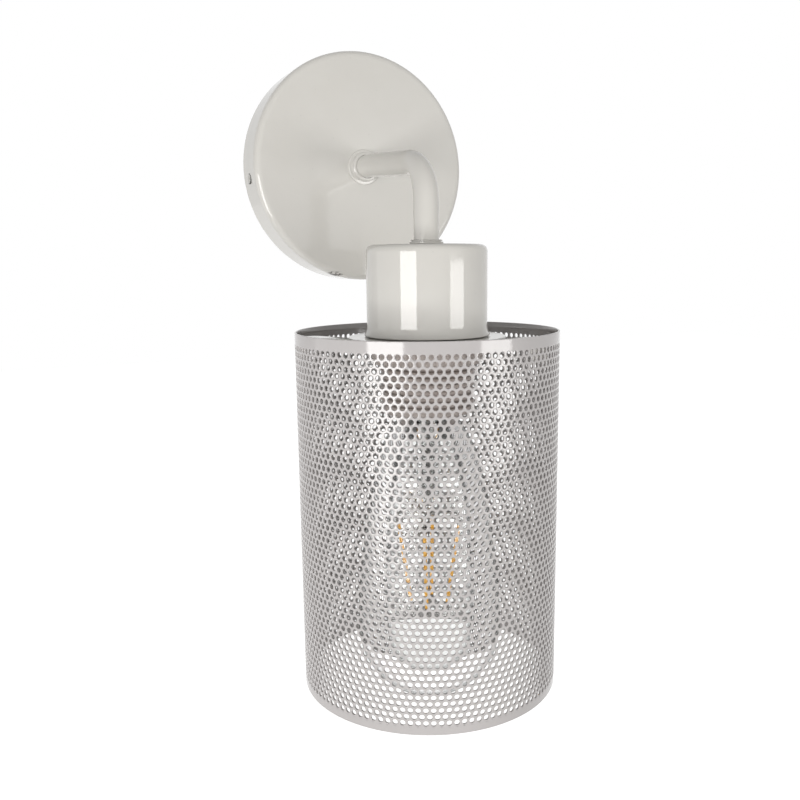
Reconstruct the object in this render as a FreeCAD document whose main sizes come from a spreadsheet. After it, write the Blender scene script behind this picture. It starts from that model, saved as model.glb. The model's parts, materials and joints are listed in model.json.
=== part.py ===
import FreeCAD, Part
import math
import os
import re
import Sketcher

# Cage wall light: a round wall canopy, a bent tube arm, a cup over the lampholder, and a
# perforated cylinder shade that a threaded ring clamps under the cup around a filament bulb.
# Frame, in millimetres: the wall is the plane y = 0 and the room is on its -Y side, +Z is up,
# and the arm leaves the canopy along -Y at x = 0, z = 0. The lamp hangs on the upright lamp
# axis at x = 0, y = -arm_reach. A size called a drop is measured down from the arm's axis.

doc = FreeCAD.newDocument("CageWallLight")

SIZES = [
    # wall canopy
    ("canopy_diameter", 105.0),
    ("canopy_depth", 20.0),
    ("canopy_sheet", 1.2),
    ("canopy_edge_radius", 3.0),
    ("side_screw_drop", 6.0),
    ("side_screw_setback", 9.0),
    ("side_screw_diameter", 4.0),
    ("side_screw_head", 5.6),
    ("side_screw_head_height", 1.6),
    ("side_screw_length", 8.0),
    # wall bracket
    ("bracket_width", 14.0),
    ("bracket_sheet", 1.5),
    ("bracket_bend_radius", 3.0),
    ("bracket_tab_length", 14.0),
    ("wall_slot_spacing", 60.0),
    ("wall_slot_length", 12.0),
    ("wall_slot_width", 5.0),
    ("earth_stud_offset", 15.0),
    ("earth_stud_diameter", 4.0),
    ("earth_stud_length", 9.0),
    ("earth_nut_flats", 7.0),
    ("earth_nut_height", 3.0),
    ("tag_diameter", 8.4),
    ("tag_sheet", 0.8),
    ("tag_neck", 3.2),
    ("tag_neck_length", 3.0),
    ("tag_barrel_length", 5.0),
    # terminal block
    ("block_drop", -24.0),
    ("block_setback", 6.5),
    ("block_pitch", 6.0),
    ("block_height", 14.0),
    ("block_depth", 7.5),
    ("block_end_wall", 0.5),
    ("way_bore", 2.6),
    ("way_wall", 0.6),
    ("way_inset", 1.0),
    ("block_screw_diameter", 2.4),
    ("block_screw_recess", 0.8),
    # arm
    ("arm_diameter", 10.5),
    ("arm_wall", 1.0),
    ("arm_reach", 86.0),
    ("arm_bend_radius", 16.0),
    ("arm_stub", 8.0),
    ("arm_foot", 13.0),
    ("collar_diameter", 16.0),
    ("collar_height", 2.3),
    ("collar_edge_radius", 1.0),
    ("collar_step_diameter", 12.4),
    ("collar_step_height", 1.8),
    ("collar_step_edge_radius", 0.6),
    ("lock_nut_flats", 14.0),
    ("lock_nut_height", 3.0),
    ("lock_washer_diameter", 19.0),
    ("lock_washer_sheet", 1.0),
    ("cup_nut_diameter", 13.8),
    ("cup_nut_height", 2.8),
    ("cup_nut_chamfer", 0.7),
    # cup
    ("cup_drop", 37.4),
    ("cup_height", 37.2),
    ("cup_diameter", 50.3),
    ("cup_sheet", 1.0),
    ("cup_edge_radius", 2.8),
    ("cup_flare", 3.2),
    # lampholder
    ("holder_neck_diameter", 15.0),
    ("holder_neck_height", 6.0),
    ("holder_cap_diameter", 38.6),
    ("holder_cap_wall", 1.8),
    ("holder_crown_radius", 5.0),
    ("holder_joint_drop", 66.0),
    ("holder_diameter", 40.0),
    ("holder_rim_drop", 106.8),
    ("holder_rim_chamfer", 0.8),
    ("holder_bore", 31.0),
    ("insert_diameter", 34.0),
    ("insert_height", 12.0),
    ("insert_top_drop", 64.8),
    ("shell_sheet", 0.5),
    ("shell_length", 27.0),
    ("terminal_offset", 9.0),
    ("terminal_screw_diameter", 3.0),
    ("terminal_screw_recess", 0.7),
    ("tongue_width", 6.0),
    ("tongue_sheet", 0.5),
    ("tongue_foot", 3.0),
    ("tongue_ramp", 2.0),
    ("tongue_step", 0.3),
    # shade ring and shade
    ("ring_diameter", 47.2),
    ("ring_height", 9.6),
    ("ring_edge_radius", 1.2),
    ("ring_thread_play", 0.2),
    ("spider_diameter", 65.6),
    ("spider_sheet", 1.2),
    ("spider_hole_play", 0.5),
    ("spider_arm_width", 12.0),
    ("spider_arm_rise", 1.3),
    ("spider_arm_root", 2.0),
    ("spider_arm_flat", 6.0),
    ("spider_tab_length", 9.0),
    ("shade_drop", 72.4),
    ("shade_height", 152.0),
    ("shade_diameter", 110.0),
    ("shade_sheet", 0.8),
    ("shade_top_band", 4.7),
    ("shade_bottom_band", 5.0),
    ("shade_panels", 8),
    ("panel_columns", 3),
    ("perforation_rows", 11),
    ("perforation_flats", 9.8),
    ("cutter_reach", 2.0),
    # bulb
    ("bulb_tip_drop", 80.0),
    ("bulb_cap_diameter", 26.0),
    ("bulb_cap_height", 21.8),
    ("bulb_cap_sheet", 0.4),
    ("bulb_cap_cone", 2.0),
    ("bulb_insulator_height", 2.2),
    ("insulator_margin", 3.0),
    ("insulator_edge", 1.0),
    ("bulb_contact_diameter", 9.0),
    ("bulb_contact_height", 1.0),
    ("bulb_contact_chamfer", 1.0),
    ("bulb_diameter", 62.4),
    ("bulb_length", 153.4),
    ("bulb_glass_wall", 0.8),
    ("bulb_neck_diameter", 24.0),
    ("bulb_neck_depth", 6.0),
    ("bulb_neck_drop", 107.8),
    ("bulb_shoulder_diameter", 42.4),
    ("bulb_shoulder_drop", 126.0),
    ("bulb_waist_diameter", 60.0),
    ("bulb_waist_drop", 174.0),
    ("bulb_ball_rise", 10.0),
    ("stem_diameter", 17.0),
    ("stem_seal_height", 2.0),
    ("stem_cone_height", 3.0),
    ("stem_foot_drop", 112.0),
    ("stem_pinch_height", 12.0),
    ("stem_drop", 150.0),
    ("stem_rod_diameter", 4.4),
    ("filament_diameter", 1.6),
    ("filament_top_drop", 154.8),
    ("filament_bottom_drop", 194.6),
    ("filament_top_radius", 13.9),
    ("filament_bottom_radius", 7.8),
    ("support_wire", 0.7),
    ("support_bend_radius", 1.5),
    ("support_inset", 1.0),
    ("support_knot_depth", 3.0),
    # wiring
    ("lead_diameter", 1.8),
    ("lead_spread", 1.4),
    ("lead_bend_radius", 3.0),
    ("lead_grip", 4.0),
    ("lead_run_out", 5.0),
    ("lead_fan_gap", 1.0),
    # clearances
    ("fastener_play", 0.1),
    ("screw_hole_play", 0.3),
    ("seat_gap", 0.3),
]

sheet = doc.addObject("Spreadsheet::Sheet", "Sizes")
for row, (alias, size) in enumerate(SIZES, start=1):
    sheet.set(f"A{row}", alias.replace("_", " "))
    sheet.set(f"B{row}", str(size))
    sheet.setAlias(f"B{row}", alias)
doc.recompute()

ALIASES = {alias for alias, size in SIZES}
NODES = []

# Heights and places that several sub-parts share, as expressions of the sizes above.
CANOPY_RADIUS = "(canopy_diameter / 2)"
CANOPY_INSIDE = "(canopy_depth - canopy_sheet)"
ARM_HOLE_RADIUS = "(arm_diameter / 2 + fastener_play)"
ARM_MOUTH = f"({CANOPY_INSIDE} - arm_stub)"
BRACKET_TAB_X = (f"(sqrt(({CANOPY_RADIUS} - canopy_sheet - seat_gap) ^ 2"
                 " - (side_screw_drop + bracket_width / 2) ^ 2))")
SCREW_SEAT_X = f"(sqrt({CANOPY_RADIUS} ^ 2 - (side_screw_drop - side_screw_head / 2) ^ 2))"
CUP_RADIUS = "(cup_diameter / 2)"
CUP_FLOOR = "(cup_drop + cup_height)"
CUP_INSIDE = "(cup_drop + cup_sheet)"
HOLDER_TOP = f"({CUP_INSIDE} + lock_washer_sheet + lock_nut_height + seat_gap)"
HOLDER_LEDGE = "(insert_top_drop + insert_height)"
SPIDER_TOP = f"({CUP_FLOOR} + seat_gap)"
RING_TOP = f"({SPIDER_TOP} + spider_sheet + seat_gap)"
SHADE_INNER_RADIUS = "(shade_diameter / 2 - shade_sheet)"
BULB_CAP_TOP = "(bulb_tip_drop + bulb_contact_height + bulb_insulator_height)"
BULB_CAP_FOOT = f"({BULB_CAP_TOP} + bulb_cap_height)"
BULB_FOOT = "(bulb_tip_drop + bulb_length)"
SHELL_RADIUS = "(bulb_cap_diameter / 2 + seat_gap + shell_sheet)"


def bound(text):
    """The expression with the sheet's name before each alias."""
    return re.sub(r"[a-z]\w*", lambda m: "Sizes." * (m.group(0) in ALIASES) + m.group(0), text)


def value(text):
    """The expression's present value in millimetres."""
    result = sheet.evalExpression(bound(text))
    return float(getattr(result, "Value", result))


def bind(item, **expressions):
    """Binds properties of a document object; Placement_Base_x stands for Placement.Base.x."""
    for name, text in expressions.items():
        item.setExpression(name.replace("_", ".") if name.startswith("Placement") else name, bound(text))


def place(item, x="0", y="0", z="0", axis=None, angle="0"):
    """Puts an object at a point, turned by an angle in degrees about an axis."""
    spin = FreeCAD.Rotation(FreeCAD.Vector(*(axis or (0, 0, 1))), value(angle))
    item.Placement = FreeCAD.Placement(FreeCAD.Vector(value(x), value(y), value(z)), spin)
    bind(item, Placement_Base_x=x, Placement_Base_y=y, Placement_Base_z=z)
    return item


def node(item, label):
    """Marks a document object as a sub-part that is written under its label."""
    item.Label = label
    NODES.append(item)
    return item


# ---- sketches and PartDesign features ----

def new_sketch(body, name, plane):
    """An empty sketch on one of the body's own origin planes."""
    sketch = body.newObject("Sketcher::SketchObject", name)
    origin_plane = [feature for feature in body.Origin.OriginFeatures if feature.Role == plane][0]
    sketch.AttachmentSupport = [(origin_plane, "")]
    sketch.MapMode = "FlatFace"
    return sketch


def pin_point(sketch, geometry, point, corner):
    """Holds a sketch point at expressions (x, y) from the sketch's origin."""
    for kind, axis, text in (("DistanceX", -2, corner[0]), ("DistanceY", -1, corner[1])):
        if text == "0":
            sketch.addConstraint(Sketcher.Constraint("PointOnObject", geometry, point, axis))
        else:
            index = sketch.addConstraint(Sketcher.Constraint(kind, -1, 1, geometry, point, value(text)))
            sketch.setExpression(f"Constraints[{index}]", bound(text))


def draw_outline(sketch, corners):
    """A closed outline. A corner is (x, y), or (x, y, radius, side) when an arc leaves it:
    side is +1 for a centre on the left of the way to the next corner and -1 on the right."""
    points = [FreeCAD.Vector(value(corner[0]), value(corner[1]), 0) for corner in corners]
    starts, ends = [], []
    for corner, first, last in zip(corners, points, points[1:] + points[:1]):
        if len(corner) == 2:
            line = sketch.addGeometry(Part.LineSegment(first, last))
            starts.append((line, 1))
            ends.append((line, 2))
            continue
        radius, side = value(corner[2]), corner[3]
        run = last - first
        left = FreeCAD.Vector(-run.y, run.x, 0).normalize()
        rise = math.sqrt(max(radius ** 2 - (run.Length / 2) ** 2, 0))
        centre = (first + last) / 2 + left * side * rise
        begin, finish = (first, last) if side > 0 else (last, first)
        angles = [math.atan2(point.y - centre.y, point.x - centre.x) for point in (begin, finish)]
        circle = Part.Circle(centre, FreeCAD.Vector(0, 0, 1), radius)
        arc = sketch.addGeometry(Part.ArcOfCircle(circle, *angles))
        starts.append((arc, 1 if side > 0 else 2))
        ends.append((arc, 2 if side > 0 else 1))
        index = sketch.addConstraint(Sketcher.Constraint("Radius", arc, radius))
        sketch.setExpression(f"Constraints[{index}]", bound(corner[2]))
    for corner, start, end in zip(corners, starts, ends[-1:] + ends[:-1]):
        sketch.addConstraint(Sketcher.Constraint("Coincident", *end, *start))
        pin_point(sketch, *start, corner)


def draw_circle(sketch, x, y, radius):
    """A circle held at expressions for its centre and radius."""
    middle = FreeCAD.Vector(value(x), value(y), 0)
    circle = sketch.addGeometry(Part.Circle(middle, FreeCAD.Vector(0, 0, 1), value(radius)))
    pin_point(sketch, circle, 3, (x, y))
    index = sketch.addConstraint(Sketcher.Constraint("Radius", circle, value(radius)))
    sketch.setExpression(f"Constraints[{index}]", bound(radius))


def draw_slot(sketch, near, far, half):
    """A slot along the sketch's X axis between two end centres."""
    arcs = []
    for x, start, end in ((far, -math.pi / 2, math.pi / 2), (near, math.pi / 2, 3 * math.pi / 2)):
        circle = Part.Circle(FreeCAD.Vector(value(x), 0, 0), FreeCAD.Vector(0, 0, 1), value(half))
        arc = sketch.addGeometry(Part.ArcOfCircle(circle, start, end))
        pin_point(sketch, arc, 3, (x, "0"))
        for point in (1, 2):
            sketch.addConstraint(Sketcher.Constraint("Vertical", arc, 3, arc, point))
        arcs.append(arc)
    index = sketch.addConstraint(Sketcher.Constraint("Radius", arcs[0], value(half)))
    sketch.setExpression(f"Constraints[{index}]", bound(half))
    sketch.addConstraint(Sketcher.Constraint("Equal", *arcs))
    for before, after, y in ((arcs[1], arcs[0], -value(half)), (arcs[0], arcs[1], value(half))):
        ends = [FreeCAD.Vector(value(near), y, 0), FreeCAD.Vector(value(far), y, 0)]
        if before == arcs[0]:
            ends.reverse()
        line = sketch.addGeometry(Part.LineSegment(*ends))
        sketch.addConstraint(Sketcher.Constraint("Coincident", before, 2, line, 1))
        sketch.addConstraint(Sketcher.Constraint("Coincident", line, 2, after, 1))


def new_body(label):
    return doc.addObject("PartDesign::Body", label)


def revolve(body, name, plane, corners, groove=False):
    """Turns an outline about the sketch's upright axis: Z on XZ_Plane, Y on XY_Plane."""
    sketch = new_sketch(body, name + "_section", plane)
    draw_outline(sketch, corners)
    feature = body.newObject("PartDesign::Groove" if groove else "PartDesign::Revolution", name)
    feature.Profile = sketch
    feature.ReferenceAxis = (sketch, ["V_Axis"])
    feature.Angle = 360
    body.Tip = feature
    return feature


def pad(body, name, plane, corners, height, circles=()):
    """Pads an outline to both sides of its plane."""
    sketch = new_sketch(body, name + "_outline", plane)
    draw_outline(sketch, corners)
    for x, y, radius in circles:
        draw_circle(sketch, x, y, radius)
    feature = body.newObject("PartDesign::Pad", name)
    feature.Profile = sketch
    feature.Midplane = True
    bind(feature, Length=height)
    body.Tip = feature
    return feature


def pocket(body, name, plane, circles=(), slots=()):
    """Cuts circles and slots right through the body, to both sides of their plane."""
    sketch = new_sketch(body, name + "_outline", plane)
    for x, y, radius in circles:
        draw_circle(sketch, x, y, radius)
    for near, far, half in slots:
        draw_slot(sketch, near, far, half)
    feature = body.newObject("PartDesign::Pocket", name)
    feature.Profile = sketch
    feature.Type = "ThroughAll"
    feature.Midplane = True
    body.Tip = feature
    return feature


def turned_node(label, corners, plane="XZ_Plane"):
    """A turned sub-part: on the lamp axis from XZ_Plane, or on the arm's axis from XY_Plane."""
    body = node(new_body(label), label)
    revolve(body, label + "_turn", plane, corners)
    if plane == "XZ_Plane":
        place(body, y="-arm_reach")
    return body


def tube_outline(inner, outer, top, foot):
    """The section of a plain ring between two drops."""
    return [(inner, f"-{top}"), (outer, f"-{top}"), (outer, f"-{foot}"), (inner, f"-{foot}")]


# ---- Part primitives ----

def cylinder(name, radius, height, **where):
    solid = doc.addObject("Part::Cylinder", name)
    bind(solid, Radius=radius, Height=height)
    return place(solid, **where)


def box(name, length, width, height, **where):
    solid = doc.addObject("Part::Box", name)
    bind(solid, Length=length, Width=width, Height=height)
    return place(solid, **where)


def cut(name, base, tool):
    result = doc.addObject("Part::Cut", name)
    result.Base = base
    result.Tool = tool
    return result


def fuse(name, pieces):
    result = doc.addObject("Part::MultiFuse", name)
    result.Shapes = pieces
    return result


def group(name, pieces):
    result = doc.addObject("Part::Compound", name)
    result.Links = pieces
    return result


def shaped(name, shape):
    """A solid that is swept or patterned in code from the sheet's values."""
    feature = doc.addObject("Part::Feature", name)
    feature.Shape = shape
    return feature


def hexagon(name, flats, height, hole, **where):
    """A hexagon nut's body, its axis along Z before it is placed."""
    prism = doc.addObject("Part::Prism", name + "_blank")
    prism.Polygon = 6
    bind(prism, Circumradius=f"{flats} / sqrt(3)", Height=height)
    bore = cylinder(name + "_bore", hole, height)
    return place(cut(name, prism, bore), **where)


def rounded_route(points, radii):
    """A wire of straight runs joined by tangent arcs; radii belong to the inner points."""
    edges, start = [], points[0]
    for before, corner, after, radius in zip(points, points[1:], points[2:], radii):
        back = (before - corner).normalize()
        ahead = (after - corner).normalize()
        half = back.getAngle(ahead) / 2
        reach = radius / math.tan(half)
        middle = corner + (back + ahead).normalize() * (radius / math.sin(half) - radius)
        edges.append(Part.LineSegment(start, corner + back * reach).toShape())
        edges.append(Part.Arc(corner + back * reach, middle, corner + ahead * reach).toShape())
        start = corner + ahead * reach
    edges.append(Part.LineSegment(start, points[-1]).toShape())
    return Part.Wire(edges)


def swept_rod(wire, radius):
    """A round rod along a wire."""
    start = wire.Edges[0]
    circle = Part.Circle(start.valueAt(start.FirstParameter), start.tangentAt(start.FirstParameter), radius)
    return wire.makePipeShell([Part.Wire([circle.toShape()])], True, True)


# ---- wall canopy and bracket ----

def make_canopy():
    """A spun dish with a rounded front edge, the arm's hole and two side screw holes."""
    inner = f"({CANOPY_RADIUS} - canopy_sheet)"
    edge = "(canopy_edge_radius - canopy_sheet)"
    turn_y = "-(canopy_depth - canopy_edge_radius)"
    turn_r = f"({CANOPY_RADIUS} - canopy_edge_radius)"
    body = node(new_body("canopy"), "canopy")
    revolve(body, "dish", "XY_Plane", [
        (CANOPY_RADIUS, "0"),
        (CANOPY_RADIUS, turn_y, "canopy_edge_radius", -1),
        (turn_r, "-canopy_depth"),
        (ARM_HOLE_RADIUS, "-canopy_depth"),
        (ARM_HOLE_RADIUS, f"-{CANOPY_INSIDE}"),
        (turn_r, f"-{CANOPY_INSIDE}", edge, 1),
        (inner, turn_y),
        (inner, "0"),
    ])
    hole = "side_screw_diameter / 2 + screw_hole_play"
    pocket(body, "side_holes", "YZ_Plane", circles=[("-side_screw_setback", "-side_screw_drop", hole)])


def make_bracket():
    """A bar across the wall with bent tabs for the side screws and slots for the wall screws."""
    bend = "bracket_bend_radius"
    inner_bend = "(bracket_bend_radius - bracket_sheet)"
    tab_inner = f"({BRACKET_TAB_X} - bracket_sheet)"
    foot = f"({BRACKET_TAB_X} - bracket_bend_radius)"
    body = node(new_body("wall_bracket"), "wall_bracket")
    pad(body, "strip", "XY_Plane", [
        (f"-{foot}", "0"),
        (foot, "0", bend, -1),
        (BRACKET_TAB_X, f"-{bend}"),
        (BRACKET_TAB_X, "-bracket_tab_length"),
        (tab_inner, "-bracket_tab_length"),
        (tab_inner, f"-{bend}", inner_bend, 1),
        (foot, "-bracket_sheet"),
        (f"-{foot}", "-bracket_sheet", inner_bend, 1),
        (f"-{tab_inner}", f"-{bend}"),
        (f"-{tab_inner}", "-bracket_tab_length"),
        (f"-{BRACKET_TAB_X}", "-bracket_tab_length"),
        (f"-{BRACKET_TAB_X}", f"-{bend}", bend, -1),
    ], "bracket_width")
    slots = []
    for side in ("-", ""):
        near = f"({side}(wall_slot_spacing / 2) - (wall_slot_length - wall_slot_width) / 2)"
        far = f"({side}(wall_slot_spacing / 2) + (wall_slot_length - wall_slot_width) / 2)"
        slots.append((near, far, "wall_slot_width / 2"))
    stud_hole = "earth_stud_diameter / 2 + fastener_play"
    pocket(body, "wall_slots", "XZ_Plane", circles=[("earth_stud_offset", "0", stud_hole)], slots=slots)
    tapped = "side_screw_diameter / 2 + fastener_play"
    pocket(body, "tapped_holes", "YZ_Plane", circles=[("-side_screw_setback", "0", tapped)])
    place(body, z="-side_screw_drop")


def make_side_screws():
    """Two low-headed screws that hold the canopy to the bracket's tabs."""
    screws = []
    for name, side, turn in (("left", "-", "-90"), ("right", "", "90")):
        shank = cylinder(f"{name}_shank", "side_screw_diameter / 2", "side_screw_length",
                         x=f"{side}({SCREW_SEAT_X} - side_screw_length)", y="-side_screw_setback",
                         z="-side_screw_drop", axis=(0, 1, 0), angle=turn)
        head = cylinder(f"{name}_head", "side_screw_head / 2", "side_screw_head_height",
                        x=f"{side}{SCREW_SEAT_X}", y="-side_screw_setback",
                        z="-side_screw_drop", axis=(0, 1, 0), angle=turn)
        screws.append(fuse(f"{name}_screw", [shank, head]))
    node(group("canopy_screws", screws), "canopy_screws")


def make_earth_terminal():
    """An earth stud in the bracket, the ring tag that it holds and the nut on it."""
    x, z = "earth_stud_offset", "-side_screw_drop"
    along = dict(axis=(1, 0, 0), angle="90")
    tag_y = "bracket_sheet"
    nut_y = f"({tag_y} + tag_sheet)"
    shank = cylinder("stud_shank", "earth_stud_diameter / 2", "earth_stud_length", x=x, z=z, **along)
    node(shank, "earth_stud")
    ring = cylinder("tag_ring", "tag_diameter / 2", "tag_sheet", x=x, y=f"-{tag_y}", z=z, **along)
    neck = box("tag_neck", "tag_neck", "tag_sheet", "tag_diameter / 2 + tag_neck_length + tag_sheet",
               x=f"{x} - tag_neck / 2", y=f"-{nut_y}", z=z)
    barrel_z = f"({z} + tag_diameter / 2 + tag_neck_length)"
    barrel_y = f"-({tag_y} + tag_neck / 2)"
    barrel = cylinder("tag_barrel", "tag_neck / 2", "tag_barrel_length", x=x, y=barrel_y, z=barrel_z)
    eye = cylinder("tag_eye", "earth_stud_diameter / 2 + fastener_play", "tag_sheet", x=x,
                   y=f"-{tag_y}", z=z, **along)
    bore = cylinder("tag_bore", "lead_diameter / 2 + fastener_play", "tag_barrel_length", x=x,
                    y=barrel_y, z=barrel_z)
    plate = cut("tag_plate", fuse("tag_blank", [ring, neck]), eye)
    node(cut("earth_tag", fuse("tag_whole", [plate, barrel]), bore), "earth_tag")
    nut = hexagon("earth_nut", "earth_nut_flats", "earth_nut_height",
                  "earth_stud_diameter / 2 + fastener_play", x=x, y=f"-{nut_y}", z=z, **along)
    node(nut, "earth_nut")


def make_terminal_block():
    """A three-way block in the canopy: a moulding with a brass way and two screws for each lead."""
    low = "(-block_drop - block_height / 2)"
    width = "(3 * block_pitch + 2 * block_end_wall)"
    depth = "block_depth"
    sleeve = "(way_bore / 2 + way_wall)"
    blank = box("block_blank", width, depth, "block_height", x=f"-{width} / 2",
                y=f"-block_setback - {depth} / 2", z=low)
    bores, sleeves, screws = [], [], []
    for way in (-1, 0, 1):
        x = f"{way} * block_pitch"
        name = f"way{way + 1}"
        bores.append(cylinder(name + "_bore", sleeve, "block_height", x=x, y="-block_setback", z=low))
        outer = cylinder(name + "_sleeve", sleeve, "block_height - 2 * way_inset", x=x,
                         y="-block_setback", z=f"{low} + way_inset")
        inner = cylinder(name + "_hole", "way_bore / 2", "block_height", x=x, y="-block_setback", z=low)
        sleeves.append(cut(name + "_brass", outer, inner))
        for end, height in (("low", "block_height / 4"), ("high", "3 * block_height / 4")):
            tall = f"({depth} / 2 - {sleeve})"
            spot = dict(x=x, y=f"-block_setback - {sleeve}", z=f"{low} + {height}",
                        axis=(1, 0, 0), angle="90")
            bores.append(cylinder(f"{name}_{end}_well", "block_screw_diameter / 2 + fastener_play",
                                  tall, **spot))
            screws.append(cylinder(f"{name}_{end}_screw", "block_screw_diameter / 2",
                                   f"{tall} - block_screw_recess", **spot))
    node(cut("terminal_block", blank, fuse("block_bores", bores)), "terminal_block")
    node(group("terminal_block_ways", sleeves), "terminal_block_ways")
    node(group("terminal_block_screws", screws), "terminal_block_screws")


# ---- arm ----

def arm_route(side, mouth, foot):
    """The corner points of a line that follows the arm, a little to one side of its axis."""
    reach = value("arm_reach")
    corners = [(side, -mouth, 0), (side, -reach, 0), (side, -reach, -foot)]
    return [FreeCAD.Vector(*corner) for corner in corners]


def make_arm():
    """A bent tube from inside the canopy to inside the cup, with its collar, nuts and washers."""
    foot = value(f"{CUP_INSIDE} + arm_foot")
    route = rounded_route(arm_route(0, value(ARM_MOUTH), foot), [value("arm_bend_radius")])
    outer = shaped("arm_outside", swept_rod(route, value("arm_diameter / 2")))
    inner = shaped("arm_inside", swept_rod(route, value("arm_diameter / 2 - arm_wall")))
    node(cut("arm_tube", outer, inner), "arm_tube")
    step = "collar_step_diameter / 2"
    rim = "collar_diameter / 2"
    edge, step_edge = "collar_edge_radius", "collar_step_edge_radius"
    front = "(canopy_depth + collar_height)"
    turned_node("arm_collar", [
        (ARM_HOLE_RADIUS, "-canopy_depth"),
        (rim, "-canopy_depth"),
        (rim, f"-({front} - {edge})", edge, -1),
        (f"{rim} - {edge}", f"-{front}"),
        (step, f"-{front}"),
        (step, f"-({front} + collar_step_height - {step_edge})", step_edge, -1),
        (f"{step} - {step_edge}", f"-({front} + collar_step_height)"),
        (ARM_HOLE_RADIUS, f"-({front} + collar_step_height)"),
    ], "XY_Plane")
    washer_y = f"({CANOPY_INSIDE} - lock_washer_sheet)"
    turned_node("canopy_washer", tube_outline(ARM_HOLE_RADIUS, "lock_washer_diameter / 2", CANOPY_INSIDE,
                                              washer_y), "XY_Plane")
    node(hexagon("canopy_nut", "lock_nut_flats", "lock_nut_height", ARM_HOLE_RADIUS,
                 y=f"-{washer_y} + lock_nut_height", axis=(1, 0, 0), angle="90"), "canopy_nut")
    top = "(cup_drop - cup_nut_height)"
    rim = "cup_nut_diameter / 2"
    turned_node("cup_top_nut", [
        (ARM_HOLE_RADIUS, f"-{top}"),
        (f"{rim} - cup_nut_chamfer", f"-{top}"),
        (rim, f"-({top} + cup_nut_chamfer)"),
        (rim, "-cup_drop"),
        (ARM_HOLE_RADIUS, "-cup_drop"),
    ])


# ---- cup ----

def make_cup():
    """A drawn cup with a rounded top edge and a flared foot, with its washer and nut inside."""
    edge = "(cup_edge_radius - cup_sheet)"
    turn_r = f"({CUP_RADIUS} - cup_edge_radius)"
    turn_z = "-(cup_drop + cup_edge_radius)"
    inner = f"({CUP_RADIUS} - cup_sheet)"
    lip = f"({CUP_RADIUS} + cup_flare)"
    flare_z = f"-({CUP_FLOOR} - cup_sheet - cup_flare)"
    turned_node("cup", [
        (ARM_HOLE_RADIUS, "-cup_drop"),
        (turn_r, "-cup_drop", "cup_edge_radius", -1),
        (CUP_RADIUS, turn_z),
        (CUP_RADIUS, flare_z, "cup_flare", 1),
        (lip, f"-({CUP_FLOOR} - cup_sheet)"),
        (lip, f"-{CUP_FLOOR}", "cup_flare + cup_sheet", -1),
        (inner, flare_z),
        (inner, turn_z, edge, 1),
        (turn_r, f"-{CUP_INSIDE}"),
        (ARM_HOLE_RADIUS, f"-{CUP_INSIDE}"),
    ])
    nut_top = f"({CUP_INSIDE} + lock_washer_sheet)"
    turned_node("cup_washer", tube_outline(ARM_HOLE_RADIUS, "lock_washer_diameter / 2", CUP_INSIDE, nut_top))
    node(hexagon("cup_nut", "lock_nut_flats", "lock_nut_height", ARM_HOLE_RADIUS, y="-arm_reach",
                 z=f"-({nut_top} + lock_nut_height)"), "cup_nut")


# ---- lampholder ----

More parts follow.
